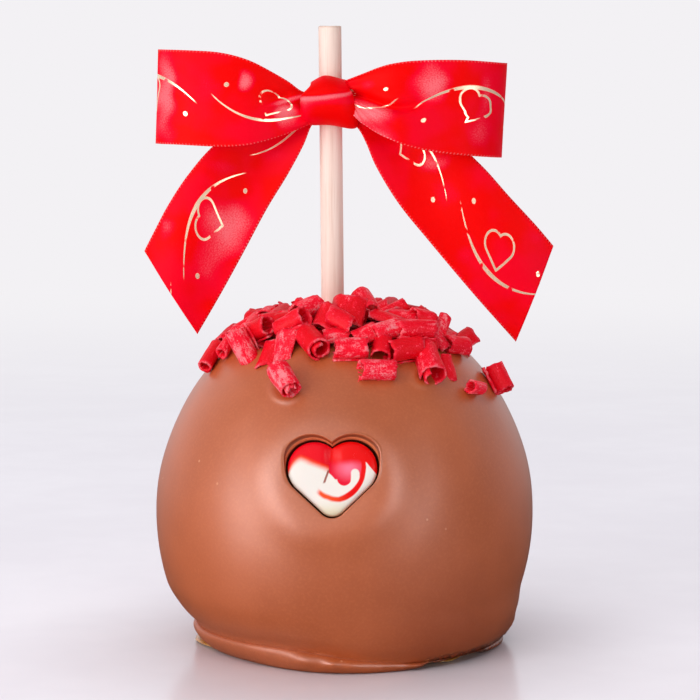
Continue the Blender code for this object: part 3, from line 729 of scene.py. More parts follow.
def stickShape():
    shape = bmesh.new()
    length = stick["top"] - stick["foot"]
    bmesh.ops.create_cone(shape, cap_ends=True, segments=stick["around"], depth=length,
                          radius1=stick["radius"], radius2=stick["radius"])
    rims = [edge for edge in shape.edges if abs(edge.verts[0].co.z - edge.verts[1].co.z) < 1e-6]
    bmesh.ops.bevel(shape, geom=rims, offset=stick["chamfer"], segments=3, profile=0.5,
                    affect="EDGES", material=-1)
    long = [edge for edge in shape.edges
            if abs(edge.verts[0].co.z - edge.verts[1].co.z) > length / 2.0]
    bmesh.ops.subdivide_edges(shape, edges=long, cuts=stick["rings"], use_grid_fill=True)
    for cap in [face for face in shape.faces if len(face.verts) > 8]:
        bmesh.ops.inset_region(shape, faces=[cap], thickness=stick["radius"] * 0.25)
    for vert in shape.verts:
        spot = vert.co * 90.0
        spot.z *= 0.25
        uneven = 0.00004 * noise.noise(spot) * min(1.0, vert.co.xy.length / 0.001)
        vert.co.x += vert.co.x / stick["radius"] * uneven
        vert.co.y += vert.co.y / stick["radius"] * uneven
        if vert.co.z > length / 2.0 - 0.0001:
            vert.co.z -= 0.00012 * (1.0 + noise.noise(vert.co * 900.0))
    middle = (stick["foot"] + stick["top"]) / 2.0
    place = Matrix.Translation((stickAcross(middle), 0.0, middle))
    shape.transform(place @ Matrix.Rotation(stick["lean"], 4, "Y"))
    return shape


def woodLook():
    look = Look("birchWood", 240, 214, 198)
    grain = look.noise(look.place((1.0, 1.0, 0.035)), 1500.0, 3.0, 0.6)
    broad = look.noise(look.place((1.0, 1.0, 0.05)), 320.0, 2.0, 0.5)
    pores = look.noise(look.place((1.0, 1.0, 0.012)), 3200.0, 1.0, 0.5).rise(0.66, 0.74)
    look.paint(broad.rise(0.3, 0.7), 250, 229, 215)
    look.paint(grain.rise(0.45, 0.75) * 0.5, 226, 190, 168)
    look.paint(pores * 0.35, 205, 160, 134)
    high = look.parts(look.place())[2]
    cut = high.rise(stick["top"] - 0.0009, stick["top"] - 0.0002)
    look.paint(cut * 0.35, 196, 152, 128)
    normal = look.bump(grain + pores * -0.6, 0.00005, 0.6)
    return look.dress({"Roughness": 0.52 + grain * 0.15, "Normal": normal,
                       "Specular IOR Level": 0.35})


finish("roundStick", stickShape(), woodLook(), "stick")
print("stick turned")

# Red chocolate curls over the crown, and three that lie apart on the shoulder
heap = {
    "rim": 0.0312, "cover": 0.0021, "edgeSpan": 0.0090,
    "tongues": ((-82.0, 26.0, 0.0074), (12.0, 10.0, 0.0032), (40.0, 12.0, 0.0032),
                (62.0, 12.0, 0.0030), (140.0, 30.0, 0.0020), (-140.0, 25.0, 0.0015)),
    "thick": 0.00052, "skew": 0.08, "tighten": 0.62, "patch": 0.00080,
    "cone": 0.10, "ridge": (0.00006, 0.00018),
    "golden": math.radians(137.508), "stickRoom": 0.0048,
    "sightFrom": 0.93, "sightTo": 1.045, "sightSteps": 400,
}

# Curls that fill the heap behind those that show, and low flakes between them all
fillLayers = (
    {"count": 130, "spacing": 0.0040, "apart": True, "reach": 0.0, "front": -0.0140,
     "lift": 0.0002, "sunkShade": 0.3, "tilt": (-8, 20), "opening": (40, 120),
     "length": (6.0, 9.0), "radius": (2.3, 3.3), "wraps": (120, 160, 300, 430)},
    {"count": 120, "spacing": 0.0030, "apart": False, "reach": -0.0020, "front": -1.0,
     "lift": -0.0009, "sunkShade": 1.0, "tilt": (-8, 12), "opening": (80, 100),
     "length": (3.5, 6.0), "radius": (2.6, 4.2), "wraps": (60, 80, 110)},
)

# Each curl: across and up as seen on the plane through the stick, and lift out of the
# heap, in millimetres; heading, tilt and opening in degrees; length and radius in
# millimetres and wrap in degrees.
shownCurls = (
    (-35.2, 77.2, 2.3, (62, 0, 150), (10.0, 2.3, 440)),
    (-30.8, 81.6, 1.8, (15, 10, 90), (6.5, 2.6, 160)),
    (-31.8, 79.0, 1.8, (60, 0, 150), (5.0, 1.9, 400)),
    (-26.8, 79.2, 3.4, (84, 68, 90), (9.5, 3.4, 480)),
    (-23.6, 83.6, 2.6, (-30, 12, 90), (8.0, 3.1, 440)),
    (-18.0, 88.2, 2.0, (20, 5, 90), (8.5, 4.0, 100)),
    (-14.6, 85.4, 3.2, (-18, 24, 60), (9.0, 3.2, 460)),
    (-16.6, 79.4, 2.2, (62, 30, 90), (8.5, 6.0, 60)),
    (-20.9, 77.6, 1.5, (62, 12, 90), (8.0, 2.8, 130)),
    (-8.2, 80.6, 3.2, (116, -6, 200), (8.6, 3.5, 560)),
    (-10.2, 89.0, 2.8, (35, 20, 120), (7.0, 3.0, 270)),
    (-5.2, 88.0, 3.4, (65, 38, 90), (7.5, 3.6, 120)),
    (0.4, 89.6, 4.0, (75, 46, 90), (9.0, 5.4, 120)),
    (-2.6, 83.4, 2.0, (10, 5, 90), (7.0, 3.4, 130)),
    (-1.0, 85.8, 2.8, (150, 15, 90), (7.0, 3.0, 180)),
    (1.1, 78.7, 2.8, (3, 0, 80), (8.4, 3.2, 430)),
    (5.6, 90.2, 3.4, (112, 42, 90), (8.0, 3.0, 260)),
    (11.8, 87.6, 2.2, (160, 10, 90), (8.0, 3.4, 130)),
    (16.4, 88.2, 2.0, (172, 8, 90), (8.0, 3.4, 140)),
    (20.4, 86.4, 2.2, (200, 8, 60), (6.0, 2.8, 260)),
    (18.2, 83.8, 3.2, (20, 6, 60), (10.5, 3.2, 470)),
    (4.6, 83.2, 2.2, (30, 8, 90), (7.0, 3.2, 150)),
    (10.4, 83.4, 2.4, (30, 8, 60), (8.0, 2.8, 330)),
    (9.8, 78.9, 1.8, (82, 0, 90), (6.5, 2.5, 220)),
    (15.6, 78.4, 3.0, (28, 2, 80), (9.2, 3.4, 430)),
    (8.1, 73.0, 2.5, (6, 0, 80), (9.0, 3.1, 430)),
    (22.6, 74.8, 2.9, (102, -6, 180), (9.6, 3.5, 440)),
    (28.0, 74.2, 1.6, (118, 20, 90), (7.0, 2.4, 120)),
    (21.4, 79.8, 2.2, (60, 10, 90), (6.5, 3.0, 170)),
    (29.4, 79.6, 2.4, (38, 5, 120), (7.6, 2.8, 430)),
    (31.6, 81.6, 2.6, (55, 48, 90), (6.6, 6.6, 54)),
    (25.6, 84.4, 2.6, (95, 52, 90), (6.5, 1.8, 180)),
    (26.0, 81.2, 2.0, (140, 10, 90), (5.5, 3.0, 120)),
)
strayCurls = (
    ("stray_curl_front", -15.8, 70.6, 5.6, (118, -5, 200), (8.4, 3.5, 640)),
    ("stray_curl_small", 35.1, 68.2, 3.4, (25, 0, 90), (5.2, 2.0, 400)),
    ("stray_curl_large", 40.9, 71.2, 5.4, (-42, 0, 80), (7.2, 3.1, 440)),
)


def heapHeight(x, y):
    rim = heap["rim"] + along(heap["tongues"], bearing(x, y))
    radius = math.hypot(x, y)
    cover = heap["cover"] * smooth((rim - radius) / heap["edgeSpan"])
    return crown(radius, coat["dimpleFilled"]) + cover


def seatCurl(*seen):
    # down the line of sight through a place (across, up) to where it is lift above the heap
    across, up, lift = (value / 1000.0 for value in seen)
    aim = Vector((across, 0.0, up)) - eye
    best, least = None, 1.0
    for step in range(heap["sightSteps"]):
        part = step / heap["sightSteps"]
        point = eye + aim * mix(heap["sightFrom"], heap["sightTo"], part)
        if math.hypot(point.x, point.y) > coat["bellyRadius"] - 0.001:
            continue
        above = point.z - heapHeight(point.x, point.y)
        if above <= lift:
            return point
        if above < least:
            best, least = point, above
    return best


def slopeFrame(point):
    # axes to the right, up the slope and out of the crown
    radial = Vector((point.x, point.y, 0.0))
    radius = max(radial.length, 0.001)
    rise = (crown(radius + 0.0005, 0.0) - crown(radius - 0.0005, 0.0)) / 0.001
    out = (radial.normalized() * -rise + Vector((0.0, 0.0, 1.0))).normalized()
    right = Vector((1.0, 0.0, 0.0))
    right = (right - out * right.dot(out)).normalized()
    return Matrix((right, out.cross(right), out)).transposed().to_4x4()


def addCurl(shape, place, turn, size, draw, sunkShade=0.0):
    # a rolled shaving: ridged along its roll, with ragged ends and edges
    heading, tilt, opening = turn
    length, radius, wrap = size[0] / 1000.0, size[1] / 1000.0, math.radians(size[2])
    tighten = heap["tighten"] * smooth((wrap - math.radians(200.0)) / math.radians(500.0))
    middle = radius * math.sin(wrap / 2.0) / (wrap / 2.0) if wrap < math.pi else 0.0
    steps = max(6, round(radius * wrap / heap["patch"]))
    rows = max(5, round(length / heap["patch"] * 0.85))
    seed = Vector([draw.uniform(0, 90) for axis in range(3)])
    # a random tone, pulled down into painted shade for curls sunk in the heap
    toneAndShade = draw.random() - sunkShade
    cone = draw.uniform(-heap["cone"], heap["cone"])
    ridge = draw.uniform(*heap["ridge"])
    sheet = bmesh.ops.create_grid(shape, x_segments=steps, y_segments=rows, size=1.0)["verts"]
    curlMap = shape.verts.layers.float_vector["curlMap"]
    curlToneAndShade = shape.verts.layers.float["curlToneAndShade"]
    curlRim = shape.verts.layers.float["curlRim"]
    head = Matrix.Rotation(math.radians(heading), 4, "Z")
    lean = Matrix.Rotation(math.radians(-tilt), 4, "Y")
    roll = Matrix.Rotation(math.radians(opening), 4, "X")
    whole = Matrix.Translation(place) @ slopeFrame(place) @ head @ lean @ roll

    def jag(x, y, z):
        return noise.noise(Vector((x, y, z)) + seed)

    for vert in sheet:
        share, side = (vert.co.x + 1.0) / 2.0, vert.co.y
        run, way = share * (radius * wrap), side * length
        ragged = jag(run * 700.0, side, 0.0) * 0.00055 + jag(run * 2200.0, side, 5.0) * 0.00022
        torn = jag(way * 400.0, 3.0, 0.0) * 0.05 + jag(way * 1300.0, 8.0, 0.0) * 0.02
        angle = wrap * (share - 0.5) * (1.0 + torn)
        out = radius * (1.0 - tighten * share) * (1.0 + cone * side)
        spot = Vector((run * 900.0, way * 110.0, 0.0)) + seed
        out += ridge * noise.noise(spot) * 2.0 + ridge * 0.6 * noise.noise(spot * 2.3)
        skew = heap["skew"] * length * math.sin(3.0 * share + radius / 0.00025)
        vert[curlMap] = (run, way / 2.0, seed.x / 10.0)
        vert[curlToneAndShade] = toneAndShade
        vert[curlRim] = max(abs(side) ** 12.0, abs(2.0 * share - 1.0) ** 24.0)
        vert.co = whole @ Vector((side * (length / 2.0 + ragged) + skew,
                                  out * math.cos(angle) - middle, out * math.sin(angle)))
    faces = list({face for vert in sheet for face in vert.link_faces})
    bmesh.ops.recalc_face_normals(shape, faces=faces)
    bmesh.ops.solidify(shape, geom=faces, thickness=heap["thick"] * draw.uniform(0.8, 1.15))


def curlShape():
    shape = bmesh.new()
    shape.verts.layers.float_vector.new("curlMap")
    shape.verts.layers.float.new("curlToneAndShade")
    shape.verts.layers.float.new("curlRim")
    return shape


def scatter(layer, taken):
    # places spread evenly over the crown by the golden angle, clear of those taken
    for index in range(layer["count"]):
        azimuth = index * heap["golden"]
        share = math.sqrt((index + 1.0) / (layer["count"] + 1.0))
        radius = share * (heap["rim"] + layer["reach"])
        x, y = radius * math.sin(azimuth), -radius * math.cos(azimuth)
        place = Vector((x, y, heapHeight(x, y)))
        near = any((place - other).length < layer["spacing"] for other in taken)
        if not near and math.hypot(place.x - stickAcross(place.z), place.y) > heap["stickRoom"]:
            taken.append(place)
            yield place


def curlHeap():
    draw = random.Random(23)
    shape = curlShape()
    shown = []
    for *seen, turn, size in shownCurls:
        shown.append(seatCurl(*seen))
        addCurl(shape, shown[-1], turn, size, draw)
    for layer in fillLayers:
        for place in scatter(layer, list(shown) if layer["apart"] else []):
            if place.y < layer["front"]:
                continue
            turn = [draw.uniform(*span) for span in ((0, 360), layer["tilt"], layer["opening"])]
            size = [draw.uniform(*span) for span in (layer["length"], layer["radius"])]
            size.append(draw.choice(layer["wraps"]))
            out = slopeFrame(place).col[2].to_3d()
            addCurl(shape, place + out * layer["lift"], turn, size, draw, layer["sunkShade"])
    return shape


def redChocolateLook():
    look = Look("redChocolate", 232, 0, 20)
    toneAndShade = look.kept("curlToneAndShade")
    rim = look.kept("curlRim")
    streaks = look.noise(look.place((1300.0, 330.0, 1.0), "curlMap"), 1.0, 3.0, 0.6)
    patches = look.noise(look.place((420.0, 300.0, 1.0), "curlMap"), 1.0, 4.0, 0.65)
    dust = look.noise(look.place(), 2600.0, 2.0, 0.6)
    chalk = streaks * 0.40 + patches * 0.80 + dust * 0.45 + (toneAndShade - 0.5) * 0.20
    chalk = chalk.rise(0.72, 1.16).most(rim * (patches.rise(0.30, 0.75) * 0.70 + 0.10))
    look.paint(toneAndShade, 255, 0, 40)
    look.paint(chalk.rise(0.0, 0.5), 255, 28, 62)
    look.paint(dust.rise(0.42, 0.72) * 0.14, 255, 84, 104)
    look.paint(chalk.rise(0.25, 0.90) * 0.88, 255, 142, 148)
    # painted shade: the shreds underneath, deep in the heap, are painted dark
    look.paint(toneAndShade.rise(0.0, -0.5) * 0.75, 110, 0, 6)
    normal = look.bump(streaks * 0.6 + dust * 0.4 + patches * 0.4, 0.00030, 0.8)
    return look.dress({"Roughness": 0.42 + chalk * 0.25, "Normal": normal,
                       "Specular IOR Level": 0.12})


redChocolate = redChocolateLook()
finish("curlHeap", curlHeap(), redChocolate, "shavings")
strayDraw = random.Random(5)
for name, *seen, turn, size in strayCurls:
    shape = curlShape()
    addCurl(shape, seatCurl(*seen), turn, size, strayDraw)
    finish("curl" + name.split("_")[-1].title(), shape, redChocolate, name)
print("curls heaped")

# Satin bow of 25 mm ribbon: two loops, two tails and the band of the knot
bow = {
    "half": 0.0124, "thick": 0.00034,
    "knot": Vector((-0.0045, -0.0030, 0.1441)), "knotHalf": (0.0070, 0.0074, 0.0058),
    "knotRound": 2.2, "knotRipple": 0.00018, "knotCrease": 0.00045, "knotShear": 0.0010,
    "foldDeep": 0.0016, "foldWide": 0.0009, "fanDeep": 0.00020, "fanRays": 30.0,
    "fanStart": Vector((0.0005, 0.1450)),
    "pleat": 0.0016, "sag": 0.0006, "backNarrow": 0.965, "slants": (0.0009, -0.0013),
    "tailWave": 0.0014, "tailPleat": 0.0008, "tailRipple": 0.0005, "sheenSeed": 1795528230,
}


def millimetres(*points):
    return [Vector(point) / 1000.0 for point in points]


# Plan of each loop (across, depth), from the knot out over the front and back behind,
# and its upper and lower edges as seen from the front (across, up).
loopPlans = (
    millimetres((-6, -4.5), (-14, -8), (-26, -11.5), (-40, -10), (-47.5, -5.5), (-49.6, -0.5),
                (-46, 4.5), (-36, 7.5), (-22, 7), (-12, 4), (-5, 2)),
    millimetres((-3, -4.5), (4, -7.5), (14, -11.5), (30, -10.5), (39.5, -6), (42.4, -0.5),
                (39, 4.5), (29, 7.5), (14, 7), (4, 4), (-4, 2)),
)
loopTops = (
    millimetres((-50, 157.8), (-39, 157.4), (-33, 157), (-28, 156), (-23.5, 154.4), (-19, 152),
                (-15, 149.6), (-11, 146.8), (-5, 146.5)),
    millimetres((-4, 148), (1, 150), (5.5, 151.8), (8.5, 153), (12, 154), (18, 154.8),
                (30, 155), (42.5, 154.2)),
)
loopFeet = (
    millimetres((-50, 133.2), (-43, 133.1), (-33, 132.7), (-26, 133), (-19, 134.6), (-11.5, 137.4),
                (-5, 140.5)),
    millimetres((-4, 142.5), (1, 141.5), (5, 138.3), (11, 134.9), (17.5, 132.5), (27, 130.8),
                (42.5, 129.5)),
)
# Fold that runs out of the knot: over the left loop as a ridge, into the right as a valley
foldLines = (
    millimetres((-22, 142.5), (-16.5, 144), (-11, 145.4), (-5, 146)),
    millimetres((-4, 147), (1.5, 145.6), (5, 144.9), (10.5, 143), (15, 142.4), (21, 143.8),
                (27, 146)),
)
# Outer and inner edge of each tail (across, up) at the same stations down the tail, and
# the depth of its middle there; the last stations give its slanted cut.
tailOuters = (
    millimetres((-8.5, 143.5), (-15.5, 141.8), (-25.5, 138.2), (-34, 133), (-40.7, 125.5),
                (-46, 117.6), (-50.2, 109.8), (-52.6, 105.2)),
    millimetres((-2, 143.5), (7.5, 142.4), (17.5, 139.5), (27.5, 134.7), (35.7, 127.6),
                (43, 119.5), (50, 112), (54.7, 106.5)),
)
tailInners = (
    millimetres((-7, 140.5), (-9, 137.6), (-10.9, 132.8), (-15, 125.2), (-20.5, 116.2),
                (-26.3, 105.4), (-32.9, 93.4), (-38.9, 83.2)),
    millimetres((0, 140.5), (3.4, 137.4), (5.6, 133.4), (8.4, 126.9), (14.2, 117.5),
                (22, 107.9), (33.7, 94), (45.1, 81.2)),
)
tailDepths = millimetres((-3, 0), (-3.5, 0), (-4, 0), (-4.5, 0), (-5.5, 0), (-7, 0), (-7.5, 0),
                         (-6.5, 0))


def fourRound(points, index):
    # the ends of a stretch of a line, and the points before and after them
    return [points[min(len(points) - 1, max(0, index + step))] for step in (-1, 0, 1, 2)]


def curveAt(points, share):
    # smooth curve through a few points
    place = min(len(points) - 1 - 1e-6, max(0.0, share * (len(points) - 1)))
    t = place - int(place)
    a, b, c, d = fourRound(points, int(place))
    return 0.5 * (2.0 * b + (c - a) * t + (2.0 * a - 5.0 * b + 4.0 * c - d) * t * t
                  + (3.0 * b - a - 3.0 * c + d) * t * t * t)


def levelAt(line, across):
    # height of a smooth line through a few (across, up) points, by where it is crossed
    index = min(len(line) - 2, max(0, sum(point.x <= across for point in line) - 1))
    before, first, second, after = fourRound(line, index)
    span = second.x - first.x
    t = min(1.0, max(0.0, (across - first.x) / span))
    startSlope = (second.y - before.y) / (second.x - before.x)
    endSlope = (after.y - first.y) / (after.x - first.x)
    turns = startSlope * t * (1.0 - t) ** 2 - endSlope * t * t * (1.0 - t)
    return mix(first.y, second.y, smooth(t)) + span * turns


def frontFold(which, across, up):
    # how far the front of a loop stands forward round the fold from the knot
    away = up - levelAt(foldLines[which], across)
    if which == 0:
        fade = smooth((across + 0.025) / 0.012)
        return fade * (0.0007 * bell(away, 0.0, 0.0008) - 0.0006 * bell(away, 0.0016, 0.0012))
    fade = smooth((0.027 - across) / 0.014)
    groove = bow["foldDeep"] * bell(away, 0.0003, bow["foldWide"] * (1.0 + across / 0.030))
    ray = math.atan2(up - bow["fanStart"].y, across - bow["fanStart"].x)
    fan = math.sin(bow["fanRays"] * ray) * fanShare(across, away)
    return fade * (0.0012 * smooth(-away / 0.0014) - groove) + fan * bow["fanDeep"]


def fanShare(across, away):
    # the pleated fan under the fold of the right loop
    return smooth(-away / 0.0008) * smooth((0.017 - across) / 0.010)


def loopPlace(which):
    plan, top, low = loopPlans[which], loopTops[which], loopFeet[which]

    def place(along, side):
        flat = curveAt(plan, along)
        high, under = levelAt(top, flat.x), levelAt(low, flat.x)
        narrow = mix(1.0, bow["backNarrow"], smooth(4.0 * (along - 0.5)))
        half = (high - under) / 2.0 * narrow
        up = (high + under) / 2.0 + side * half
        gathered = 1.0 - min(1.0, half / bow["half"])
        pleat = bow["pleat"] * gathered * math.cos(9.0 * side + 1.0 + which)
        front = 1.0 if along < 0.5 else -1.0
        if front > 0.0:
            pleat = 0.3 * pleat + frontFold(which, flat.x, up)
        turned = smooth((1.0 - abs(2.0 * along - 1.0)) / 0.5)
        sag = bow["sag"] * math.sin(5.0 * along + 2.2 * side) * turned
        toward = -side if which else side
        slant = bow["slants"][which] * (1.0 + toward) / 2.0
        slant *= smooth((abs(flat.x) - 0.030) / 0.014)
        return Vector((flat.x + slant, flat.y - front * pleat + sag, up))

    return place


def tailPlace(which):
    outer, inner = tailOuters[which], tailInners[which]

    def place(along, side):
        flat = curveAt(inner, along).lerp(curveAt(outer, along), (side + 1.0) / 2.0)
        wave = bow["tailWave"] * math.sin(2.6 * side + 5.0 * along) * smooth(along / 0.3)
        wave += bow["tailPleat"] * math.cos(8.0 * side) * smooth(1.0 - along / 0.3)
        wave += bow["tailRipple"] * math.sin(9.0 * along + 1.5 * side)
        return Vector((flat.x, curveAt(tailDepths, along).x + wave, flat.y))

    return place


def knotPlace(along, side):
    # once over and under the knot: side runs across the band, its edges turned in
    angle = 2.0 * math.pi * along
    deep, high = math.cos(angle), math.sin(angle)
    power = bow["knotRound"]
    square = (abs(deep) ** power + abs(high) ** power) ** (-1.0 / power)
    edge = abs(side) ** 3.0
    ripple = bow["knotRipple"] * math.sin(6.0 * side + 2.5 * math.sin(angle))
    ripple += bow["knotCrease"] * (knotFold(along, side) - 0.9 * knotFold(along, side, 0.16))
    deepHalf = bow["knotHalf"][1] * (1.0 - 0.34 * edge) + ripple
    highHalf = bow["knotHalf"][2] * (1.0 - 0.16 * edge) + ripple
    highHalf += 0.0008 * bell(side, 0.0, 0.50) * smooth(high)
    highHalf += 0.0012 * smooth(-high) * smooth((side + 0.3) / 1.1)
    across = bow["knotHalf"][0] * math.sin(side * math.pi / 2.0 * 0.93)
    across *= 1.0 - (0.12 if side > 0.0 else 0.38) * smooth((high - 0.20) / 0.7)
    across -= bow["knotShear"] * high * smooth(side)
    return bow["knot"] + Vector((across, -deep * deepHalf * square, high * highHalf * square))


def knotFold(along, side, above=0.0):
    # crease that runs across the front of the band, rising a little to the right
    angle = 2.0 * math.pi * along
    rise = 0.16 * side + 0.10 * side * side
    return bell(math.sin(angle) - rise, 0.22 + above, 0.09) * max(0.0, math.cos(angle))


# Painted sheen of the satin, soft patches of painted highlight: middle (across, up) and reach both
# ways in millimetres, strength
sheenSpots = (
    (-46.6, 146.0, 5.0, 19.0, 0.85), (-25.4, 150.6, 4.2, 3.8, 0.95), (-15.0, 141.0, 5.0, 5.0, 0.90),
    (-35.5, 147.5, 6.5, 10.0, 0.30), (22.4, 149.1, 9.0, 7.5, 0.85), (36.8, 146.5, 4.6, 12.0, 0.50),
    (34.6, 136.5, 5.5, 7.0, 0.45), (6.5, 148.6, 4.4, 3.0, 0.36),
    (-31.0, 111.5, 12.0, 13.0, 0.80), (-36.0, 100.0, 8.0, 9.0, 0.45), (-46.4, 111.5, 5.0, 5.0, 0.50),
    (-32.5, 126.8, 9.0, 4.5, 0.32), (-18.2, 130.1, 6.0, 6.0, 0.32), (23.1, 128.6, 7.0, 5.0, 0.62),
    (26.1, 119.7, 7.0, 8.0, 0.30), (32.7, 103.7, 7.0, 6.0, 0.30), (50.0, 109.0, 5.0, 5.0, 0.30),
)


def satinSheen(spot):
    # painted sheen patches with uneven edges
    spot = spot + noise.noise_vector(spot * 170.0) * 0.0022
    total = 0.0
    for across, up, wide, tall, strength in sheenSpots:
        away = math.hypot((spot.x * 1000.0 - across) / wide, (spot.z * 1000.0 - up) / tall)
        total += strength * smooth(1.0 - away)
    return total


def loopSheen(which):
    def sheen(along, side, spot):
        # painted sheen: the patches, a painted highlight along the left loop's fold and a painted
        # sheen over the right loop's pleated fan
        total = satinSheen(spot)
        if along < 0.5:
            away = spot.z - levelAt(foldLines[which], spot.x)
            if which == 0:
                total += 0.7 * bell(away, 0.0002, 0.0005) * smooth((spot.x + 0.023) / 0.008)
            else:
                total += 0.85 * fanShare(spot.x, away) * (0.75 + 0.25 * math.sin(spot.z * 900.0))
        return total

    return sheen


def tailSheen(along, side, spot):
    return satinSheen(spot)


def knotSheen(along, side, spot):
    # painted sheen on the knot: along its crease, at its lower left and across its front
    lowLeft = 0.3 * bell(side, -0.7, 0.4) * bell(math.sin(2.0 * math.pi * along), -0.3, 0.5)
    angle = 2.0 * math.pi * along
    below = 0.30 * bell(math.sin(angle), 0.05, 0.20) * max(0.0, math.cos(angle))
    return 0.75 * knotFold(along, side) + lowLeft + below


def ribbonShape(columns, rows, place, sheen, start, printed=1.0, closed=False):
    # place(along, side) gives each point, along 0..1 and side -1..1; ribbonMap keeps how
    # far each point lies along and across the flat ribbon, in metres
    shape = bmesh.new()
    ribbonMap = shape.verts.layers.float_vector.new("ribbonMap")
    # ribbonSheen keeps the painted sheen at each point
    ribbonSheen = shape.verts.layers.float.new("ribbonSheen")
    bmesh.ops.create_grid(shape, x_segments=columns, y_segments=rows, size=1.0)
    runs = {}
    for row in range(rows + 1):
        side = 2.0 * row / rows - 1.0
        spots = [place(column / columns, side) for column in range(columns + 1)]
        run = start
        for column in range(columns + 1):
            run += (spots[column] - spots[max(0, column - 1)]).length
            runs[column, row] = run, spots[column]
    for vert in shape.verts:
        column = round((vert.co.x + 1.0) / 2.0 * columns)
        row = round((vert.co.y + 1.0) / 2.0 * rows)
        side = vert.co.y
        run, vert.co = runs[column, row]
        vert[ribbonMap] = (run, side * bow["half"], printed)
        vert[ribbonSheen] = sheen(column / columns, side, vert.co)
    if closed:
        bmesh.ops.remove_doubles(shape, verts=shape.verts, dist=1e-6)
    return shape


def heartOutline(x, y, size):
    # distance to the outline of a heart of that size
    heartX, heartY = abs(x / size), y / size + 0.52
    lobe = reach(heartX - 0.25, heartY - 0.75) - math.sqrt(2.0) / 4.0
    diagonal = (heartX + heartY).most(0.0) * 0.5
    low = reach(heartX - diagonal, heartY - diagonal).least(reach(heartX, heartY - 1.0))
    upper = (heartX + heartY).above(1.0)
    return abs(upper * lobe + (1.0 - upper) * low) * size


# Foil print: a tilted heart outline between sweeping strokes and dots, over and over
foil = {
    "step": 0.036, "tilt": 0.45, "heart": 0.0078, "line": (0.00036, 0.00020),
    "sweepBend": 26.0, "sweepAt": 0.0055, "sweepHalf": 0.00016, "sweepEnd": (0.0165, 0.0150),
    "dotAt": (0.0128, 0.0042), "dot": (0.00075, 0.00050),
}


def foilPrint(look, along, across):
    number = (along / foil["step"]).whole()
    local = along - (number + 0.5) * foil["step"]
    flip = 1.0 - (number / 2.0).fraction() * 4.0
    right, up = math.cos(foil["tilt"]), math.sin(foil["tilt"])
    heart = heartOutline(local * right + across * flip * up, across * right - local * flip * up,
                         foil["heart"])
    sweep = local * local * (flip * foil["sweepBend"]) - flip * foil["sweepAt"]
    sweepWidth = foil["sweepHalf"] + (abs(local) * -0.022 + 0.00032).most(0.0)
    stroke = (abs(across - sweep) / sweepWidth).rise(1.4, 0.8) * abs(local).rise(*foil["sweepEnd"])
    dots = reach(abs(local) - foil["dotAt"][0], across - flip * foil["dotAt"][1])
    worn = look.noise(look.place((260.0, 260.0, 1.0), "ribbonMap"), 1.0).rise(0.36, 0.44)
    return heart.rise(*foil["line"]).most(stroke).most(dots.rise(*foil["dot"])) * worn


def satinLook():
    look = Look("redSatin", 243, 0, 0)
    along, across, printed = look.parts(look.place(kept="ribbonMap"))
    weave = look.noise(look.place((4200.0, 900.0, 1.0), "ribbonMap"), 1.0, 1.0)
    grain = look.noise(look.place((2600.0, 2600.0, 1.0), "ribbonMap"), 1.0, 2.0)
    cloud = look.noise(look.place(), 70.0, 2.0, 0.5)
    sheen = look.kept("ribbonSheen")
    sheen = sheen * (0.45 + grain * 1.1) + (grain - 0.5) * 0.10
    look.paint(cloud.rise(0.42, 0.62), 246, 0, 34)
    # painted sheen: crimson, then pink, where the kept sheen patches lie
    look.paint(sheen.rise(0.10, 0.42), 246, 0, 46)
    look.paint(sheen.rise(0.30, 0.95) * 0.95, 250, 112, 120)
    look.paint(weave.rise(0.50, 0.78) * 0.06, 255, 60, 70)
    # woven edge with its row of tiny loops, brighter under the painted sheen
    edge = abs(across).rise(0.01185, 0.0121)
    loops = (along * (2.0 * math.pi / 0.00095)).sine().rise(0.1, 0.6)
    look.paint(edge * loops * (0.22 + sheen * 0.6), 255, 170, 170)
    shine = foilPrint(look, along, across) * printed
    look.paint(shine, 255, 226, 192)
    normal = look.bump(weave, 0.00003, 0.35)
    normal = look.bump(cloud, 0.0005, 0.25, normal)
    return look.dress({
        "Roughness": (0.48 + weave * 0.06) * (1.0 - shine) + shine * 0.26, "Metallic": shine * 0.4,
        "Coat Weight": sheen.rise(0.25, 0.9) * 0.35, "Coat Roughness": 0.36, "Normal": normal,
        "Specular IOR Level": 0.035,
    })


def sheetPiece(name, shape, look):
    made = finish(name, shape, look, "ribbon_bow", outwards=False)
    thick = made.modifiers.new("thickness", "SOLIDIFY")
    thick.thickness = bow["thick"]
    thick.offset = 0.0
    return made


# noise_vector draws its offsets from the clock unless it has a seed
noise.seed_set(bow["sheenSeed"])
satin = satinLook()
knot = ribbonShape(112, 32, knotPlace, knotSheen, 0.0, 0.0, True)
sheetPiece("knotBand", knot, satin)
for which, side in enumerate(("left", "right")):
    loop = ribbonShape(240, 52, loopPlace(which), loopSheen(which), 0.004 + 0.011 * which)
    sheetPiece(side + "Loop", loop, satin)
    tail = ribbonShape(110, 34, tailPlace(which), tailSheen, 0.013 + 0.020 * which)
    sheetPiece(side + "Tail", tail, satin)
print("bow tied")

# Plain pale floor that fades into a pale backdrop all round, and soft studio light
studio = {
    "floor": 1.6, "fadeFrom": 0.25, "fadeTo": 1.1, "backdrop": 3.0,
    "pale": screen(243, 241, 244), "ambient": (0.95, 0.95, 1.0, 1.0),
    "lookAt": 0.06, "front": 0.10, "behind": 0.80, "above": 0.14, "left": 0.12, "right": 0.20,
}


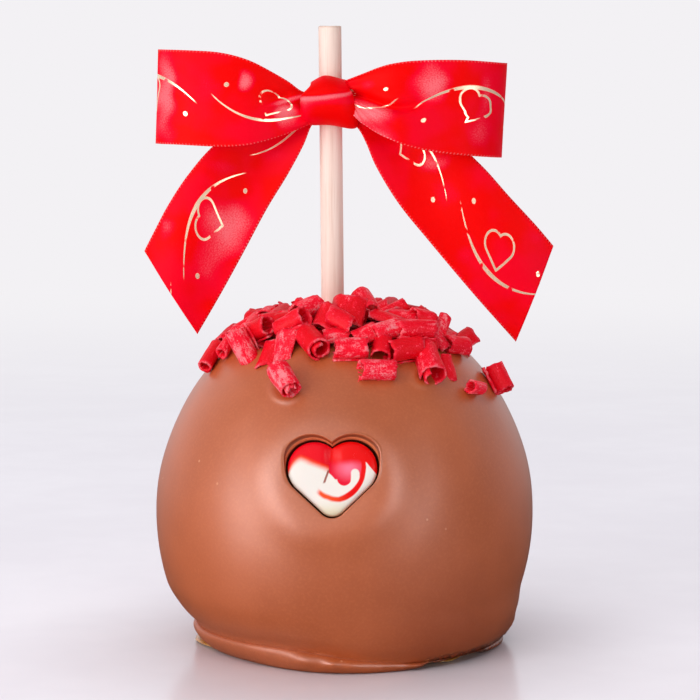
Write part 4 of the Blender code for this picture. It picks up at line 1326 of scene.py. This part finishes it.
def floorLook():
    look = Look("paleFloor", 226, 219, 227)
    here = look.place()
    cloud = look.noise(here, 9.0, 4.0, 0.6)
    look.paint(cloud.rise(0.35, 0.7), 235, 229, 236)
    x, y, z = look.parts(here)
    away = reach(x, y)
    # painted glow over the floor, left off near the apple so the floor is darker round it
    paintedGlow = look.blend(away.rise(0.040, 0.10) * 0.9, screen(0, 0, 0), studio["pale"])
    look.dress({"Roughness": 0.15 + cloud * 0.06, "Specular IOR Level": 0.22,
                "Emission Color": paintedGlow, "Emission Strength": 0.19})
    far = look.node("Emission", {}, {"Color": studio["pale"], "Strength": 1.0})
    return look.cover(look.node("MixShader", {}, {
        0: away.rise(studio["fadeFrom"], studio["fadeTo"]), 1: Field(look, look.shader.outputs[0]),
        2: far,
    }))


def backdropLook():
    look = Look("paleBackdrop", 0, 0, 0)
    return look.cover(look.node("Emission", {}, {"Color": studio["pale"], "Strength": 1.0}))


def stagePiece(name, shape, look):
    made = madeFrom(shape, name, look)
    return made


shape = bmesh.new()
bmesh.ops.create_circle(shape, cap_ends=True, segments=96, radius=studio["floor"])
floor = stagePiece("floor", shape, floorLook())
floor.visible_glossy = False
shape = bmesh.new()
bmesh.ops.create_uvsphere(shape, u_segments=48, v_segments=24, radius=studio["backdrop"])
bmesh.ops.reverse_faces(shape, faces=shape.faces)
backdrop = stagePiece("backdrop", shape, backdropLook())
backdrop.visible_diffuse = False
backdrop.visible_glossy = False
backdrop.visible_shadow = False

world = bpy.data.worlds.new("studio")
bpy.context.scene.world = world
world.use_nodes = True
sky = Nodes(world.node_tree)
x, y, z = sky.parts(sky.node("TexCoord", {}, {}, "Generated"))
level = studio["front"] + z.most(0.0) * studio["above"] + x.rise(0.2, -0.9) * studio["left"]
level = level * (0.3 + 0.7 * z.rise(-0.4, 0.0))
level = level + y.rise(-0.2, 0.9) * z.rise(-0.25, 0.15) * studio["behind"]
level = level + x.rise(0.2, 0.9) * y.rise(-0.45, 0.25) * z.rise(-0.05, 0.35) * studio["right"]
background = sky.tree.nodes["Background"]
background.inputs["Color"].default_value = studio["ambient"]
sky.feed(background.inputs["Strength"], level)


def softBox(name, azimuth, elevation, away, size, power):
    # a rectangular light that looks at the middle of the apple
    light = bpy.data.lights.new(name, "AREA")
    light.shape = "RECTANGLE"
    light.size, light.size_y = size
    light.energy = power
    made = bpy.data.objects.new(name, light)
    turn, rise = math.radians(azimuth), math.radians(elevation)
    back = Vector((math.sin(turn) * math.cos(rise), -math.cos(turn) * math.cos(rise),
                   math.sin(rise)))
    made.location = Vector((0.0, 0.0, studio["lookAt"])) + back * away
    made.rotation_mode = "QUATERNION"
    made.rotation_quaternion = (-back).to_track_quat("-Z", "Y")
    made.visible_camera = False
    bpy.context.scene.collection.objects.link(made)
    return made


softBox("windowLeft", -50.0, 9.0, 0.9, (0.62, 0.46), 3.0)
softBox("windowRight", 44.0, 9.0, 0.9, (0.24, 0.42), 0.7)
softBox("sheenLeft", -51.0, 6.0, 0.9, (0.66, 0.72), 6.8).visible_diffuse = False
softBox("sheenRight", 37.0, 14.0, 0.9, (0.28, 0.56), 2.5).visible_diffuse = False
softBox("frontFill", -24.0, 30.0, 1.3, (1.2, 1.2), 5.0)
softBox("overhead", -10.0, 60.0, 1.3, (1.0, 1.0), 4.2).visible_glossy = False
bpy.context.scene.view_settings.view_transform = "Standard"

print("studio lit")
